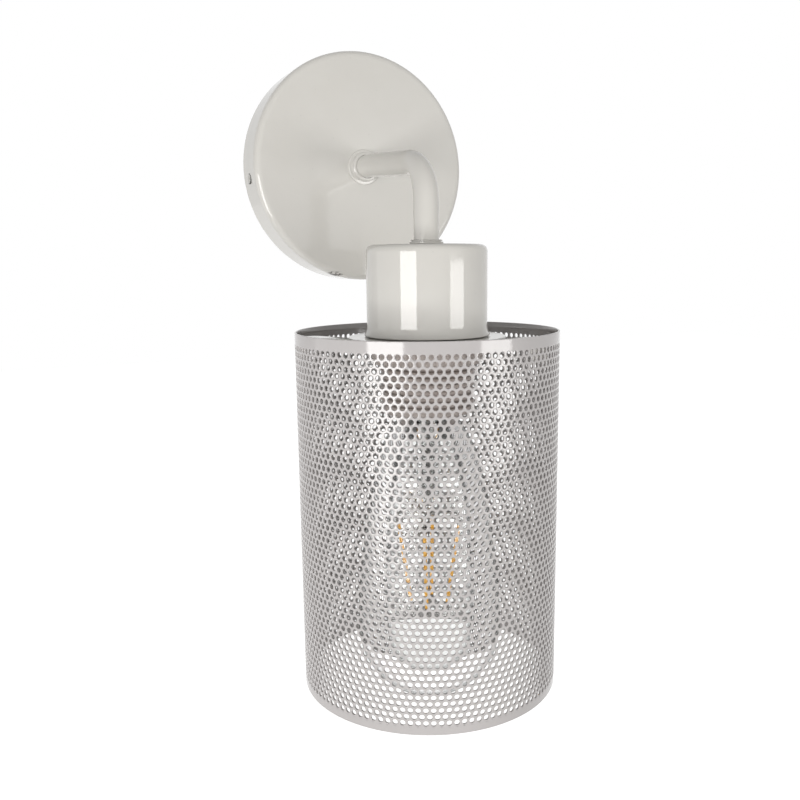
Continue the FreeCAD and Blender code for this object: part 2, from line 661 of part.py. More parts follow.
def make_lampholder():
    """Cap, threaded body, insert with its terminals, screw shell and centre contact."""
    neck = "holder_neck_diameter / 2"
    rim = "(holder_cap_diameter / 2)"
    shoulder = f"({HOLDER_TOP} + holder_neck_height)"
    crown = f"({shoulder} + holder_crown_radius)"
    turn_r = f"({rim} - holder_crown_radius)"
    wall = "holder_cap_wall"
    turned_node("lampholder_cap", [
        (ARM_HOLE_RADIUS, f"-{HOLDER_TOP}"),
        (neck, f"-{HOLDER_TOP}"),
        (neck, f"-{shoulder}"),
        (turn_r, f"-{shoulder}", "holder_crown_radius", -1),
        (rim, f"-{crown}"),
        (rim, "-holder_joint_drop"),
        (f"{rim} - {wall}", "-holder_joint_drop"),
        (f"{rim} - {wall}", f"-{crown}", f"holder_crown_radius - {wall}", 1),
        (turn_r, f"-({shoulder} + {wall})"),
        (ARM_HOLE_RADIUS, f"-({shoulder} + {wall})"),
    ])
    seat = "(insert_diameter / 2 + fastener_play)"
    turned_node("lampholder_body", [
        (seat, "-holder_joint_drop"),
        ("holder_diameter / 2", "-holder_joint_drop"),
        ("holder_diameter / 2", "-(holder_rim_drop - holder_rim_chamfer)"),
        ("holder_diameter / 2 - holder_rim_chamfer", "-holder_rim_drop"),
        ("holder_bore / 2", "-holder_rim_drop"),
        ("holder_bore / 2", f"-{HOLDER_LEDGE}"),
        (seat, f"-{HOLDER_LEDGE}"),
    ])
    body = node(new_body("lampholder_insert"), "lampholder_insert")
    revolve(body, "insert_disc", "XZ_Plane", [
        ("0", "-insert_top_drop"),
        ("insert_diameter / 2", "-insert_top_drop"),
        ("insert_diameter / 2", f"-{HOLDER_LEDGE}"),
        ("0", f"-{HOLDER_LEDGE}"),
    ])
    wire_hole = "lead_diameter / 2 + fastener_play"
    pocket(body, "wire_holes", "XY_Plane", circles=[
        ("-terminal_offset", "0", wire_hole), ("terminal_offset", "0", wire_hole)])
    screw_z = "(insert_top_drop + insert_height / 2)"
    pocket(body, "screw_holes", "YZ_Plane", circles=[
        ("0", f"-{screw_z}", "terminal_screw_diameter / 2 + fastener_play")])
    place(body, y="-arm_reach")
    tip = "(terminal_offset + lead_diameter / 2 + seat_gap)"
    screws = []
    for name, side, turn in (("live", "-", "-90"), ("neutral", "", "90")):
        screws.append(cylinder(f"{name}_screw", "terminal_screw_diameter / 2",
                               f"insert_diameter / 2 - {tip} - terminal_screw_recess", x=f"{side}{tip}",
                               y="-arm_reach", z=f"-{screw_z}", axis=(0, 1, 0), angle=turn))
    node(group("terminal_screws", screws), "terminal_screws")
    turned_node("screw_shell", tube_outline(f"{SHELL_RADIUS} - shell_sheet", SHELL_RADIUS, HOLDER_LEDGE,
                                            f"({HOLDER_LEDGE} + shell_length)"))
    tongue = node(new_body("centre_contact"), "centre_contact")
    reach = "(bulb_contact_diameter / 2)"
    dip = "(bulb_tip_drop - seat_gap)"
    pad(tongue, "tongue", "XZ_Plane", [
        (f"-{reach} - tongue_foot", f"-{HOLDER_LEDGE}"),
        (f"-{reach}", f"-{HOLDER_LEDGE}"),
        (f"-{reach} + tongue_ramp", f"-({dip} - tongue_sheet)"),
        (f"{reach}", f"-({dip} - tongue_sheet)"),
        (f"{reach}", f"-{dip}"),
        (f"-{reach} + tongue_ramp - tongue_step", f"-{dip}"),
        (f"-{reach} - tongue_step", f"-({HOLDER_LEDGE} + tongue_sheet)"),
        (f"-{reach} - tongue_foot", f"-({HOLDER_LEDGE} + tongue_sheet)"),
    ], "tongue_width")
    place(tongue, y="-arm_reach")


# ---- shade, its spider and the ring that clamps it ----

def make_shade_ring():
    """The ring that screws up the lampholder's outside thread and clamps the spider."""
    bore = "(holder_diameter / 2 + ring_thread_play)"
    rim = "ring_diameter / 2"
    foot = f"({RING_TOP} + ring_height)"
    turned_node("shade_ring", [
        (bore, f"-{RING_TOP}"),
        (rim, f"-{RING_TOP}"),
        (rim, f"-({foot} - ring_edge_radius)", "ring_edge_radius", -1),
        (f"{rim} - ring_edge_radius", f"-{foot}"),
        (bore, f"-{foot}"),
    ])


def make_spider():
    """A disc under the cup with three arms whose bent tabs are welded inside the shade."""
    body = node(new_body("spider"), "spider")
    foot = f"({SPIDER_TOP} + spider_sheet)"
    wall = f"(sqrt({SHADE_INNER_RADIUS} ^ 2 - (spider_arm_width / 2) ^ 2))"
    root = "(spider_diameter / 2 - spider_arm_root)"
    high = f"({SPIDER_TOP} - spider_arm_rise)"
    arm = pad(body, "arm", "XZ_Plane", [
        (root, f"-{foot}"),
        (root, f"-{SPIDER_TOP}"),
        ("spider_diameter / 2", f"-{SPIDER_TOP}"),
        (f"{wall} - spider_arm_flat", f"-{high}"),
        (wall, f"-{high}"),
        (wall, f"-({high} + spider_tab_length)"),
        (f"{wall} - spider_sheet", f"-({high} + spider_tab_length)"),
        (f"{wall} - spider_sheet", f"-({high} + spider_sheet)"),
        (f"{wall} - spider_arm_flat", f"-({high} + spider_sheet)"),
        ("spider_diameter / 2", f"-{foot}"),
    ], "spider_arm_width")
    arms = body.newObject("PartDesign::PolarPattern", "three_arms")
    arms.Originals = [arm]
    arms.Axis = ([f for f in body.Origin.OriginFeatures if f.Role == "Z_Axis"][0], [""])
    arms.Angle = 360
    arms.Occurrences = 3
    body.Tip = arms
    bore = "(holder_diameter / 2 + spider_hole_play)"
    revolve(body, "disc", "XZ_Plane", tube_outline(bore, "spider_diameter / 2", SPIDER_TOP, foot))
    place(body, y="-arm_reach", axis=(0, 0, 1), angle="30")


def perforations():
    """Staggered radial hexagon prisms through one panel's wall, from band to band."""
    columns = int(value("panel_columns"))
    rows = int(value("perforation_rows"))
    width = 360 / value("shade_panels")
    corner = value("perforation_flats") / math.sqrt(3)
    inside = value(f"{SHADE_INNER_RADIUS} - cutter_reach")
    depth = value("shade_sheet + 2 * cutter_reach")
    first = -value("shade_drop + shade_top_band") - corner
    last = -value("shade_drop + shade_height - shade_bottom_band") + corner
    angles = [math.radians(60 * side + 30) for side in range(7)]
    points = [FreeCAD.Vector(inside, corner * math.cos(a), corner * math.sin(a)) for a in angles]
    prism = Part.Face(Part.makePolygon(points)).extrude(FreeCAD.Vector(depth, 0, 0))
    holes = []
    for row in range(rows):
        z = first + (last - first) * row / (rows - 1)
        shift = 0.5 * (row % 2)
        for column in range(columns + row % 2):
            turn = width * ((column + 0.5 - shift) / columns - 0.5)
            spin = FreeCAD.Rotation(FreeCAD.Vector(0, 0, 1), turn)
            holes.append(prism.transformed(FreeCAD.Placement(FreeCAD.Vector(0, 0, z), spin).toMatrix()))
    return Part.makeCompound(holes)


def make_shade():
    """The perforated sheet cylinder with a plain band at each end, in equal panels edge to edge."""
    top, foot = "shade_drop", "(shade_drop + shade_height)"
    plain = new_body("plain_panel")
    turn = revolve(plain, "panel_turn", "XZ_Plane",
                   tube_outline(SHADE_INNER_RADIUS, "shade_diameter / 2", top, foot))
    turn.Midplane = True
    bind(turn, Angle="360 / shade_panels")
    panel = cut("shade_panel", plain, shaped("perforation_tools", perforations()))
    doc.recompute()
    count = int(value("shade_panels"))
    panels = [panel.Shape.copy() for number in range(count)]
    for number, shape in enumerate(panels):
        shape.rotate(FreeCAD.Vector(0, 0, 0), FreeCAD.Vector(0, 0, 1), 360 * number / count)
    node(place(shaped("shade", Part.makeCompound(panels)), y="-arm_reach"), "shade")


# ---- bulb ----

def make_bulb_cap():
    """The screw cap, its insulator and its centre contact."""
    rim = "bulb_cap_diameter / 2"
    seat = "bulb_contact_diameter / 2 + insulator_margin"
    turned_node("bulb_cap", [
        (seat, f"-{BULB_CAP_TOP}"),
        (f"{rim} - bulb_cap_cone", f"-{BULB_CAP_TOP}"),
        (rim, f"-({BULB_CAP_TOP} + bulb_cap_cone)"),
        (rim, f"-{BULB_CAP_FOOT}"),
        (f"{rim} - bulb_cap_sheet", f"-{BULB_CAP_FOOT}"),
        (f"{rim} - bulb_cap_sheet", f"-({BULB_CAP_TOP} + bulb_cap_cone + bulb_cap_sheet / 2)"),
        (f"{rim} - bulb_cap_cone", f"-({BULB_CAP_TOP} + bulb_cap_sheet)"),
        (seat, f"-({BULB_CAP_TOP} + bulb_cap_sheet)"),
    ])
    contact_foot = "(bulb_tip_drop + bulb_contact_height)"
    turned_node("bulb_insulator", [
        ("0", f"-{contact_foot}"),
        ("bulb_contact_diameter / 2 + insulator_edge", f"-{contact_foot}"),
        (seat, f"-{BULB_CAP_TOP}"),
        (seat, f"-({BULB_CAP_TOP} + insulator_edge)"),
        ("0", f"-({BULB_CAP_TOP} + insulator_edge)"),
    ])
    turned_node("bulb_contact", [
        ("0", "-bulb_tip_drop"),
        ("bulb_contact_diameter / 2 - bulb_contact_chamfer", "-bulb_tip_drop"),
        ("bulb_contact_diameter / 2", f"-{contact_foot}"),
        ("0", f"-{contact_foot}"),
    ])


def make_bulb_glass():
    """A blown shell: neck in the cap, shoulder, long taper and round end, open at the neck."""
    ball = "(bulb_diameter / 2)"
    ball_z = f"({BULB_FOOT} - {ball})"
    wall = "bulb_glass_wall"
    neck = "bulb_neck_diameter / 2"
    shoulder = "bulb_shoulder_diameter / 2"
    waist = "bulb_waist_diameter / 2"
    turned_node("bulb_glass", [
        (neck, f"-({BULB_CAP_FOOT} - bulb_neck_depth)"),
        (neck, "-bulb_neck_drop"),
        (shoulder, "-bulb_shoulder_drop"),
        (waist, "-bulb_waist_drop"),
        (ball, f"-({ball_z} - bulb_ball_rise)"),
        (ball, f"-{ball_z}", ball, -1),
        ("0", f"-{BULB_FOOT}"),
        ("0", f"-({BULB_FOOT} - {wall})", f"{ball} - {wall}", 1),
        (f"{ball} - {wall}", f"-{ball_z}"),
        (f"{ball} - {wall}", f"-({ball_z} - bulb_ball_rise)"),
        (f"{waist} - {wall}", "-bulb_waist_drop"),
        (f"{shoulder} - {wall}", "-bulb_shoulder_drop"),
        (f"{neck} - {wall}", "-bulb_neck_drop"),
        (f"{neck} - {wall}", f"-({BULB_CAP_FOOT} - bulb_neck_depth)"),
    ])


def make_bulb_inside():
    """The glass stem, four leaning filament sticks and the wires that hold them."""
    rod = "stem_rod_diameter / 2"
    flare = "stem_diameter / 2"
    seal = "(bulb_neck_diameter / 2 - bulb_glass_wall - fastener_play)"
    seal_top = f"({BULB_CAP_FOOT} - bulb_neck_depth)"
    stem = turned_node("bulb_stem", [
        ("0", f"-{seal_top}"),
        (seal, f"-{seal_top}"),
        (seal, f"-({seal_top} + stem_seal_height)"),
        (flare, f"-({seal_top} + stem_seal_height + stem_cone_height)"),
        (flare, "-stem_foot_drop"),
        (rod, "-(stem_foot_drop + stem_pinch_height)"),
        (rod, "-stem_drop"),
        ("0", "-stem_drop"),
    ])
    reach = value("arm_reach")
    top, foot = value("filament_top_drop"), value("filament_bottom_drop")
    top_radius, foot_radius = value("filament_top_radius"), value("filament_bottom_radius")
    rod_radius, wire = value("filament_diameter") / 2, value("support_wire") / 2
    stem_end, inset, bend = value("stem_drop"), value("support_inset"), value("support_bend_radius")
    knot = FreeCAD.Vector(0, -reach, -foot - value("support_knot_depth"))
    sticks, wires = [], []
    for quarter in range(4):
        angle = math.radians(90 * quarter + 8)
        outward = FreeCAD.Vector(math.cos(angle), math.sin(angle), 0)
        high = outward * top_radius + FreeCAD.Vector(0, -reach, -top)
        low = outward * foot_radius + FreeCAD.Vector(0, -reach, -foot)
        lean = low - high
        sticks.append(Part.makeCylinder(rod_radius, lean.Length, high, lean))
        elbow = high + FreeCAD.Vector(0, 0, top - stem_end + inset)
        hub = FreeCAD.Vector(0, -reach, inset - stem_end) + outward * (value("stem_rod_diameter") / 4)
        wires.append(swept_rod(rounded_route([hub, elbow, high], [bend]), wire))
        wires.append(Part.makeCylinder(wire, (knot - low).Length, low, knot - low))
    tie = Part.makeCylinder(wire, -stem_end - knot.z, knot, FreeCAD.Vector(0, 0, 1))
    doc.recompute()
    frame = wires[0].multiFuse(wires[1:] + [tie])
    for solid in sticks + [stem.Shape]:
        frame = frame.cut(solid)
    node(shaped("filaments", Part.makeCompound(sticks)), "filaments")
    node(shaped("filament_supports", frame), "filament_supports")


# ---- wiring ----

def lead(label, points, radii):
    """An insulated lead along rounded runs."""
    route = rounded_route([FreeCAD.Vector(*point) for point in points], radii)
    solid = swept_rod(route, value("lead_diameter") / 2)
    section = math.pi * (value("lead_diameter") / 2) ** 2
    print(f"{label}: {route.Length:.0f} mm long, volume against section times length "
          f"{solid.Volume / (section * route.Length):.4f}")
    node(shaped(label, solid), label)


def make_leads():
    """Two leads through the arm from the block to the lampholder, and one to the earth stud."""
    pitch, back = value("block_pitch"), value("block_setback")
    block_low = value("-block_drop - block_height / 2")
    start, below = block_low + value("lead_grip"), block_low - value("lead_run_out")
    reach, spread = value("arm_reach"), value("lead_spread")
    fan_top = -value(f"{CUP_INSIDE} + arm_foot + lead_fan_gap")
    terminal = value("terminal_offset")
    fan_foot = value("lead_run_out - insert_top_drop")
    end = -value("insert_top_drop + lead_grip")
    turn, bend = value("lead_bend_radius"), value("arm_bend_radius")
    for label, way, side in (("live_lead", -pitch, -1), ("neutral_lead", 0, 1)):
        x = side * spread
        lead(label, [
            (way, -back, start), (way, -back, below), (x, -back, 0), (x, -reach, 0),
            (x, -reach, fan_top), (side * terminal, -reach, fan_foot), (side * terminal, -reach, end),
        ], [turn, turn, bend, turn, turn])
    tag_x = value("earth_stud_offset")
    tag_y = value("bracket_sheet + tag_neck / 2")
    tag_z = value("-side_screw_drop + tag_diameter / 2 + tag_neck_length")
    lead_out = tag_z + value("tag_barrel_length + lead_grip")
    lead("earth_lead", [
        (pitch, -back, start), (pitch, -back, below), (tag_x, -tag_y, lead_out), (tag_x, -tag_y, tag_z),
    ], [turn, turn])


make_canopy()
make_bracket()
make_side_screws()
make_earth_terminal()
make_terminal_block()
make_arm()
make_cup()
make_lampholder()
make_shade_ring()
make_spider()
make_shade()
make_bulb_cap()
make_bulb_glass()
make_bulb_inside()
make_leads()
doc.recompute()

for item in doc.Objects:
    if "Invalid" in item.State or "Error" in item.State:
        raise RuntimeError(f"{item.Label} did not recompute: {item.State}")
for item in NODES:
    if item.Shape.isNull() or not item.Shape.isValid():
        raise RuntimeError(f"{item.Label} has no valid shape")

os.makedirs("parts", exist_ok=True)
for item in NODES:
    item.Shape.exportStep(f"parts/{item.Label}.step")
print(len(NODES), "sub-parts written")
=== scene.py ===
# %% [markdown]
# # A cage wall light, dressed in Blender
# The light is a white round canopy on the wall, a bent tube arm, a drawn cup, and a cylinder of
# perforated sheet that hangs under the cup around a clear filament bulb. The engineering model
# gives every part its size and place. This lesson adds what a camera sees: paint, glass, plated
# metal, thousands of punched holes, threads and screw slots.
#
# The frame is in metres: the wall is the plane y = 0, the room lies on its -Y side, and +Z is up.
# Sizes of pieces are written in millimetres, as on a drawing, and MM turns them into metres.

# %% Load the frame
import json
import math

import bpy
import numpy as np
from mathutils import Matrix, Vector

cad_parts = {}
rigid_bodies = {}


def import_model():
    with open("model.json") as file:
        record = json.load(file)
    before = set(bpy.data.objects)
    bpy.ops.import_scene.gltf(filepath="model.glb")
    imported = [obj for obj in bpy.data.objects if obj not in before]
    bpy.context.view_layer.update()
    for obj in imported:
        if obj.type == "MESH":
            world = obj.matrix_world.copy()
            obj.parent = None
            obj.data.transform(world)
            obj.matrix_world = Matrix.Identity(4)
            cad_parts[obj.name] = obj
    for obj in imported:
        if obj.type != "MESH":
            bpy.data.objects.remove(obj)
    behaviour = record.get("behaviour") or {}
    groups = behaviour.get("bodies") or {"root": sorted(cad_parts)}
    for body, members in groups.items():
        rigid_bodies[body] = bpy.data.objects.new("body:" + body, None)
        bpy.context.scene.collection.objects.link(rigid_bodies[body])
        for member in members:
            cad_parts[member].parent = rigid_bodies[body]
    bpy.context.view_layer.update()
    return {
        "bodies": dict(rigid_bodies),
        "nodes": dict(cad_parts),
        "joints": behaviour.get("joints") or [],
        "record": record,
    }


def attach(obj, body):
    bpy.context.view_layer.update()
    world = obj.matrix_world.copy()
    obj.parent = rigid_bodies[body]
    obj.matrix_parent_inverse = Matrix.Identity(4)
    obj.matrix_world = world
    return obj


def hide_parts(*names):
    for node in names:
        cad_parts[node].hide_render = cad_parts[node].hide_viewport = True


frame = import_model()

# %% [markdown]
# ## Sizes from the frame
# The engineering model is the drawing, so the main sizes are read from its parts instead of being
# typed again. The box of a part on the lamp axis gives its radius, its top and its foot. Heights are
# written as drops below the arm's axis, which is z = 0. What the drawing leaves out, such as threads and
# rolled edges, is added to these where each piece is made.

# %% Part sizes
MM = 0.001


def part_box(node):
    """The lowest and highest corner of an engineering part, in millimetres."""
    part = frame["nodes"][node]
    points = np.array([part.matrix_world @ vertex.co for vertex in part.data.vertices]) / MM
    return points.min(axis=0).round(3).tolist(), points.max(axis=0).round(3).tolist()


def middle_of(node):
    """The middle of an engineering part, in millimetres."""
    return [(low + high) / 2 for low, high in zip(*part_box(node))]


def turned_part(node):
    """The radius of a part on the lamp axis, and the drops of its top and foot."""
    low, high = part_box(node)
    return high[0], -high[2], -low[2]


ARM_REACH = -middle_of("shade")[1]
LAMP_AXIS = Vector((0, -ARM_REACH * MM, 0))
print("the lamp axis is", ARM_REACH, "mm from the wall")

# %% [markdown]
# ## The camera
# The real picture was taken from the front left and a little above the lamp, close enough for
# the cylinder's rows of holes to fan out. A camera's place can be set by eye, or solved from
# things of known size. Here the rows of holes and the rim gave the place and the lens, and a
# camera matrix is built from the direction it looks in.

# %% Camera
YAW, PITCH, ROLL = math.radians(26.06), math.radians(9.73), math.radians(-0.49)
CAMERA_X, CAMERA_Y, CAMERA_Z = -158.8 * MM, -405.8 * MM, -44.9 * MM
SENSOR, FOCAL_LENGTH, SHIFT = 36, 38.3, (-0.0283, 0.0114)

look = Vector((math.sin(YAW) * math.cos(PITCH), math.cos(YAW) * math.cos(PITCH), -math.sin(PITCH)))
level = Vector((math.cos(YAW), -math.sin(YAW), 0))
upward = level.cross(look)
right = math.cos(ROLL) * level + math.sin(ROLL) * upward
up = math.cos(ROLL) * upward - math.sin(ROLL) * level

lens = bpy.data.cameras.new("studio_camera")
lens.sensor_width = SENSOR
lens.lens = FOCAL_LENGTH
lens.shift_x, lens.shift_y = SHIFT
camera = bpy.data.objects.new("studio_camera", lens)
camera.matrix_world = Matrix((
    (right.x, up.x, -look.x, CAMERA_X),
    (right.y, up.y, -look.y, CAMERA_Y),
    (right.z, up.z, -look.z, CAMERA_Z),
    (0, 0, 0, 1),
))
bpy.context.collection.objects.link(camera)
bpy.context.scene.camera = camera
print("camera at", [round(v, 3) for v in camera.location], "lens", lens.lens, "mm")

# %% [markdown]
# ## Node helpers
# The world and every material are small graphs. Wiring one by hand in the editor is pleasant,
# and wiring eighteen is slow, so a few short helpers add nodes and fill their sockets. An input
# takes a link, a number or a colour, and one helper fills it with whichever it gets.

# %% Nodes and sockets
def add(tree, kind, **settings):
    """A new node of this kind, with the node's own settings by name."""
    made = tree.nodes.new("ShaderNode" + kind)
    for name, value in settings.items():
        setattr(made, name, value)
    return made


def feed(tree, source, target, socket):
    """Fills a node's input: a socket is linked to it, and a number or a colour is set on it."""
    if isinstance(source, bpy.types.NodeSocket):
        tree.links.new(source, target.inputs[socket])
    elif isinstance(source, tuple):
        target.inputs[socket].default_value = (*source, 1)
    else:
        target.inputs[socket].default_value = source


def set_sockets(made, **values):
    """Sets input sockets by name, with _ for a space."""
    for name, value in values.items():
        made.inputs[name.replace("_", " ")].default_value = value
    return made


def axes(tree, vector):
    """The X, Y and Z sockets of a vector."""
    split = add(tree, "SeparateXYZ")
    feed(tree, vector, split, 0)
    return split.outputs


print("node helpers ready")

# %% [markdown]
# Masks are sums on sockets. A range is spread over another range, a window picks out a stretch,
# and masks are combined by multiplying them.

# %% Sums and masks
def calculate(tree, operation, first, second=0.0):
    """A sum on sockets or numbers."""
    made = add(tree, "Math", operation=operation)
    feed(tree, first, made, 0)
    feed(tree, second, made, 1)
    return made.outputs[0]


def product(tree, first, *others):
    """The product of several sockets or numbers."""
    for other in others:
        first = calculate(tree, "MULTIPLY", first, other)
    return first


def hypotenuse(tree, across, upward):
    """The distance that two components at a right angle make."""
    squares = calculate(tree, "ADD", product(tree, across, across), product(tree, upward, upward))
    return calculate(tree, "SQRT", squares)


def spread(tree, value, low, high, to_low=0.0, to_high=1.0):
    """Maps a value's range to another range, clamped."""
    made = set_sockets(add(tree, "MapRange"), From_Min=low, From_Max=high, To_Min=to_low, To_Max=to_high)
    feed(tree, value, made, "Value")
    return made.outputs["Result"]


def window(tree, value, places):
    """1 between the inner two of four places in millimetres, and fading to 0 at the outer two."""
    low, low_full, high_full, high = (place * MM for place in places)
    return product(tree, spread(tree, value, low, low_full), spread(tree, value, high, high_full))


print("mask helpers ready")

# %% [markdown]
# Noise gives a surface its unevenness, and a mask then mixes two colours, or two whole shaders.

# %% Noise and mixes
def noise(tree, vector, scale, detail, roughness=0.5, distortion=0.0):
    """The value of a noise texture on the given coordinates."""
    made = set_sockets(add(tree, "TexNoise"), Detail=detail, Roughness=roughness, Distortion=distortion)
    feed(tree, vector, made, "Vector")
    feed(tree, scale, made, "Scale")
    return made.outputs["Fac"]


def blend_colours(tree, mask, first, second):
    """Mixes two colours by a mask; each colour is a tuple or a socket."""
    made = add(tree, "Mix", data_type="RGBA")
    feed(tree, mask, made, "Factor")
    feed(tree, first, made, 6)
    feed(tree, second, made, 7)
    return made.outputs[2]


def mix_shaders(tree, mask, first, second):
    """Mixes two shaders by a mask."""
    made = add(tree, "MixShader")
    for socket, source in enumerate((mask, first, second)):
        feed(tree, source, made, socket)
    return made.outputs[0]


print("mixing helpers ready")

# %% [markdown]
# ## Background and light
# White paint is lit with a few large soft boxes, so that a gloss surface shows them as clean
# upright stripes. The lamp's own cup tells where they stood: a stripe lies halfway between the
# direction of the camera and that of the box. Two boxes make the stripes, a weak third lifts the
# far left, and the world fills the rest, from the room side far more than from above.
#
# The background is white because of what the world shows to the camera, mirrors and glass. It
# takes no extra light on the object for that, so the paint keeps its own grey.

# %% World
FILL = {"ahead": 1.0, "behind": 0.12, "above": 0.05}
FILL_COLOUR, WHITE = (1.0, 0.985, 0.965), (1.0, 1.0, 1.0)

scene = bpy.context.scene
scene.view_settings.view_transform = "Standard"
scene.world = bpy.data.worlds.new("studio")
scene.world.use_nodes = True
tree = scene.world.node_tree
tree.nodes.clear()


def seen_directly(tree):
    """1 for rays from the camera, from gloss and through glass, and 0 for the rest."""
    path = add(tree, "LightPath")
    total = path.outputs["Is Camera Ray"]
    for name in ("Is Glossy Ray", "Is Transmission Ray"):
        total = calculate(tree, "MAXIMUM", total, path.outputs[name])
    return total


def one_side(component, strength):
    """The world's strength towards one side: it grows with the direction's component that way."""
    return calculate(tree, "MAXIMUM", product(tree, component, strength), 0.0)


towards = axes(tree, add(tree, "TexCoord").outputs["Generated"])
level_fill = calculate(tree, "ADD", one_side(towards["Y"], -FILL["ahead"]),
                       one_side(towards["Y"], FILL["behind"]))
total = calculate(tree, "ADD", level_fill, one_side(towards["Z"], FILL["above"]))
fill, white = add(tree, "Background"), add(tree, "Background")
for light, colour, strength in ((fill, FILL_COLOUR, total), (white, WHITE, 1.0)):
    feed(tree, colour, light, "Color")
    feed(tree, strength, light, "Strength")
surroundings = mix_shaders(tree, seen_directly(tree), fill.outputs[0], white.outputs[0])
feed(tree, surroundings, add(tree, "OutputWorld"), "Surface")
print("world fill", FILL)

# %% Soft boxes
CUP_HEIGHT = -55 * MM
BOX_DISTANCE, BOX_COLOUR = 0.75, (1.0, 0.99, 0.975)


def soft_box(name, turn, low, high, width, brightness):
    """A box at a turn from straight ahead of the wall, that faces the cup. low and high are the
    angles of its lower and upper edge as the cup sees them, and width is its angle across."""
    angle = math.radians(turn)
    foot, top = (BOX_DISTANCE * math.tan(math.radians(edge)) for edge in (low, high))
    lamp = bpy.data.lights.new(name, "AREA")
    lamp.shape = "RECTANGLE"
    lamp.size = 2 * BOX_DISTANCE * math.tan(math.radians(width / 2))
    lamp.size_y = top - foot
    lamp.energy = brightness * math.pi * lamp.size * lamp.size_y
    lamp.color = BOX_COLOUR
    holder = bpy.data.objects.new(name, lamp)
    holder.location = LAMP_AXIS + Vector((math.sin(angle), -math.cos(angle), 0)) * BOX_DISTANCE
    holder.location.z = CUP_HEIGHT + (foot + top) / 2
    facing = LAMP_AXIS - holder.location
    facing.z = 0
    holder.rotation_euler = facing.to_track_quat("-Z", "Y").to_euler()
    bpy.context.collection.objects.link(holder)
    print(name, f"{lamp.size:.2f} x {lamp.size_y:.2f} m, {lamp.energy:.1f} W")


soft_box("left_box", -60, -24, 3, 30, 6.8)
soft_box("right_box", 31, -18, 1, 28, 4.9)
soft_box("side_box", -102, -24, 4, 60, 0.6)

# %% Floor
FLOOR_REACH, FLOOR_HEIGHT, FLOOR_GREY = 6.0, -0.75, (0.82, 0.82, 0.82)
GLOW_UNSEEN, GLOW_SEEN = 0.04, 0.90

floor_mesh = bpy.data.meshes.new("floor")
floor_corners = [(x * FLOOR_REACH, y * FLOOR_REACH, FLOOR_HEIGHT)
                 for x, y in ((-1, -1), (1, -1), (1, 1), (-1, 1))]
floor_mesh.from_pydata(floor_corners, [], [(0, 1, 2, 3)])
floor = bpy.data.objects.new("floor", floor_mesh)
bpy.context.collection.objects.link(floor)

pale_floor = bpy.data.materials.new("pale_floor")
pale_floor.use_nodes = True
tree = pale_floor.node_tree
tree.nodes.clear()
matt, glow, both = (add(tree, kind) for kind in ("BsdfDiffuse", "Emission", "AddShader"))
feed(tree, FLOOR_GREY, matt, "Color")
feed(tree, WHITE, glow, "Color")
feed(tree, spread(tree, seen_directly(tree), 0.0, 1.0, GLOW_UNSEEN, GLOW_SEEN), glow, "Strength")
feed(tree, matt.outputs[0], both, 0)
feed(tree, glow.outputs[0], both, 1)
feed(tree, both.outputs[0], add(tree, "OutputMaterial"), "Surface")
floor_mesh.materials.append(pale_floor)
print("floor at", FLOOR_HEIGHT, "m")

# %% [markdown]
# ## Effects that several finishes share
# Powder coat has a fine ripple like orange peel, slow changes of shade, and dust that settles
# where the surface faces up. Plated and turned metal has drawn lines and cloudy patches. Moulded
# plastic has a fine grain and faint flow marks. Each effect is a node group with its own named
# inputs, so that every material can place it with its own values.

# %% Group builder
def new_group(name, inputs, outputs):
    """An empty shader node group with float or vector inputs and outputs; returns its parts."""
    group = bpy.data.node_groups.new(name, "ShaderNodeTree")
    for label, kind, default in inputs:
        made = group.interface.new_socket(name=label, in_out="INPUT", socket_type="NodeSocket" + kind)
        if kind == "Float":
            made.default_value = default
    for label, kind in outputs:
        group.interface.new_socket(name=label, in_out="OUTPUT", socket_type="NodeSocket" + kind)
    return group, group.nodes.new("NodeGroupInput"), group.nodes.new("NodeGroupOutput")


def place_group(tree, group, vector, **values):
    """Puts a group in a material, fed with coordinates and its own values; returns its outputs."""
    made = tree.nodes.new("ShaderNodeGroup")
    made.node_tree = group
    feed(tree, vector, made, "Vector")
    return set_sockets(made, **values).outputs


print("group builder ready")

# %% Sprayed coat
coat, start, end = new_group(
    "sprayed_coat",
    [("Vector", "Vector", None), ("Peel Scale", "Float", 700.0), ("Cloud Scale", "Float", 14.0),
     ("Speck Scale", "Float", 260.0)],
    [("Height", "Float"), ("Cloud", "Float"), ("Dust", "Float"), ("Specks", "Float")])
given = start.outputs
feed(coat, noise(coat, given["Vector"], given["Peel Scale"], 2.0, 0.45), end, "Height")
cloud = noise(coat, given["Vector"], given["Cloud Scale"], 4.0, 0.55)
feed(coat, spread(coat, cloud, 0.3, 0.7), end, "Cloud")
faces_up = axes(coat, add(coat, "NewGeometry").outputs["Normal"])["Z"]
settled = product(coat, spread(coat, faces_up, 0.35, 1.0), spread(coat, cloud, 0.35, 0.7, 0.3, 1.0))
feed(coat, settled, end, "Dust")
speck = add(coat, "TexVoronoi")
feed(coat, given["Vector"], speck, "Vector")
feed(coat, given["Speck Scale"], speck, "Scale")
feed(coat, spread(coat, speck.outputs["Distance"], 0.02, 0.09, 1.0, 0.0), end, "Specks")
print(coat.name, len(coat.nodes), "nodes")

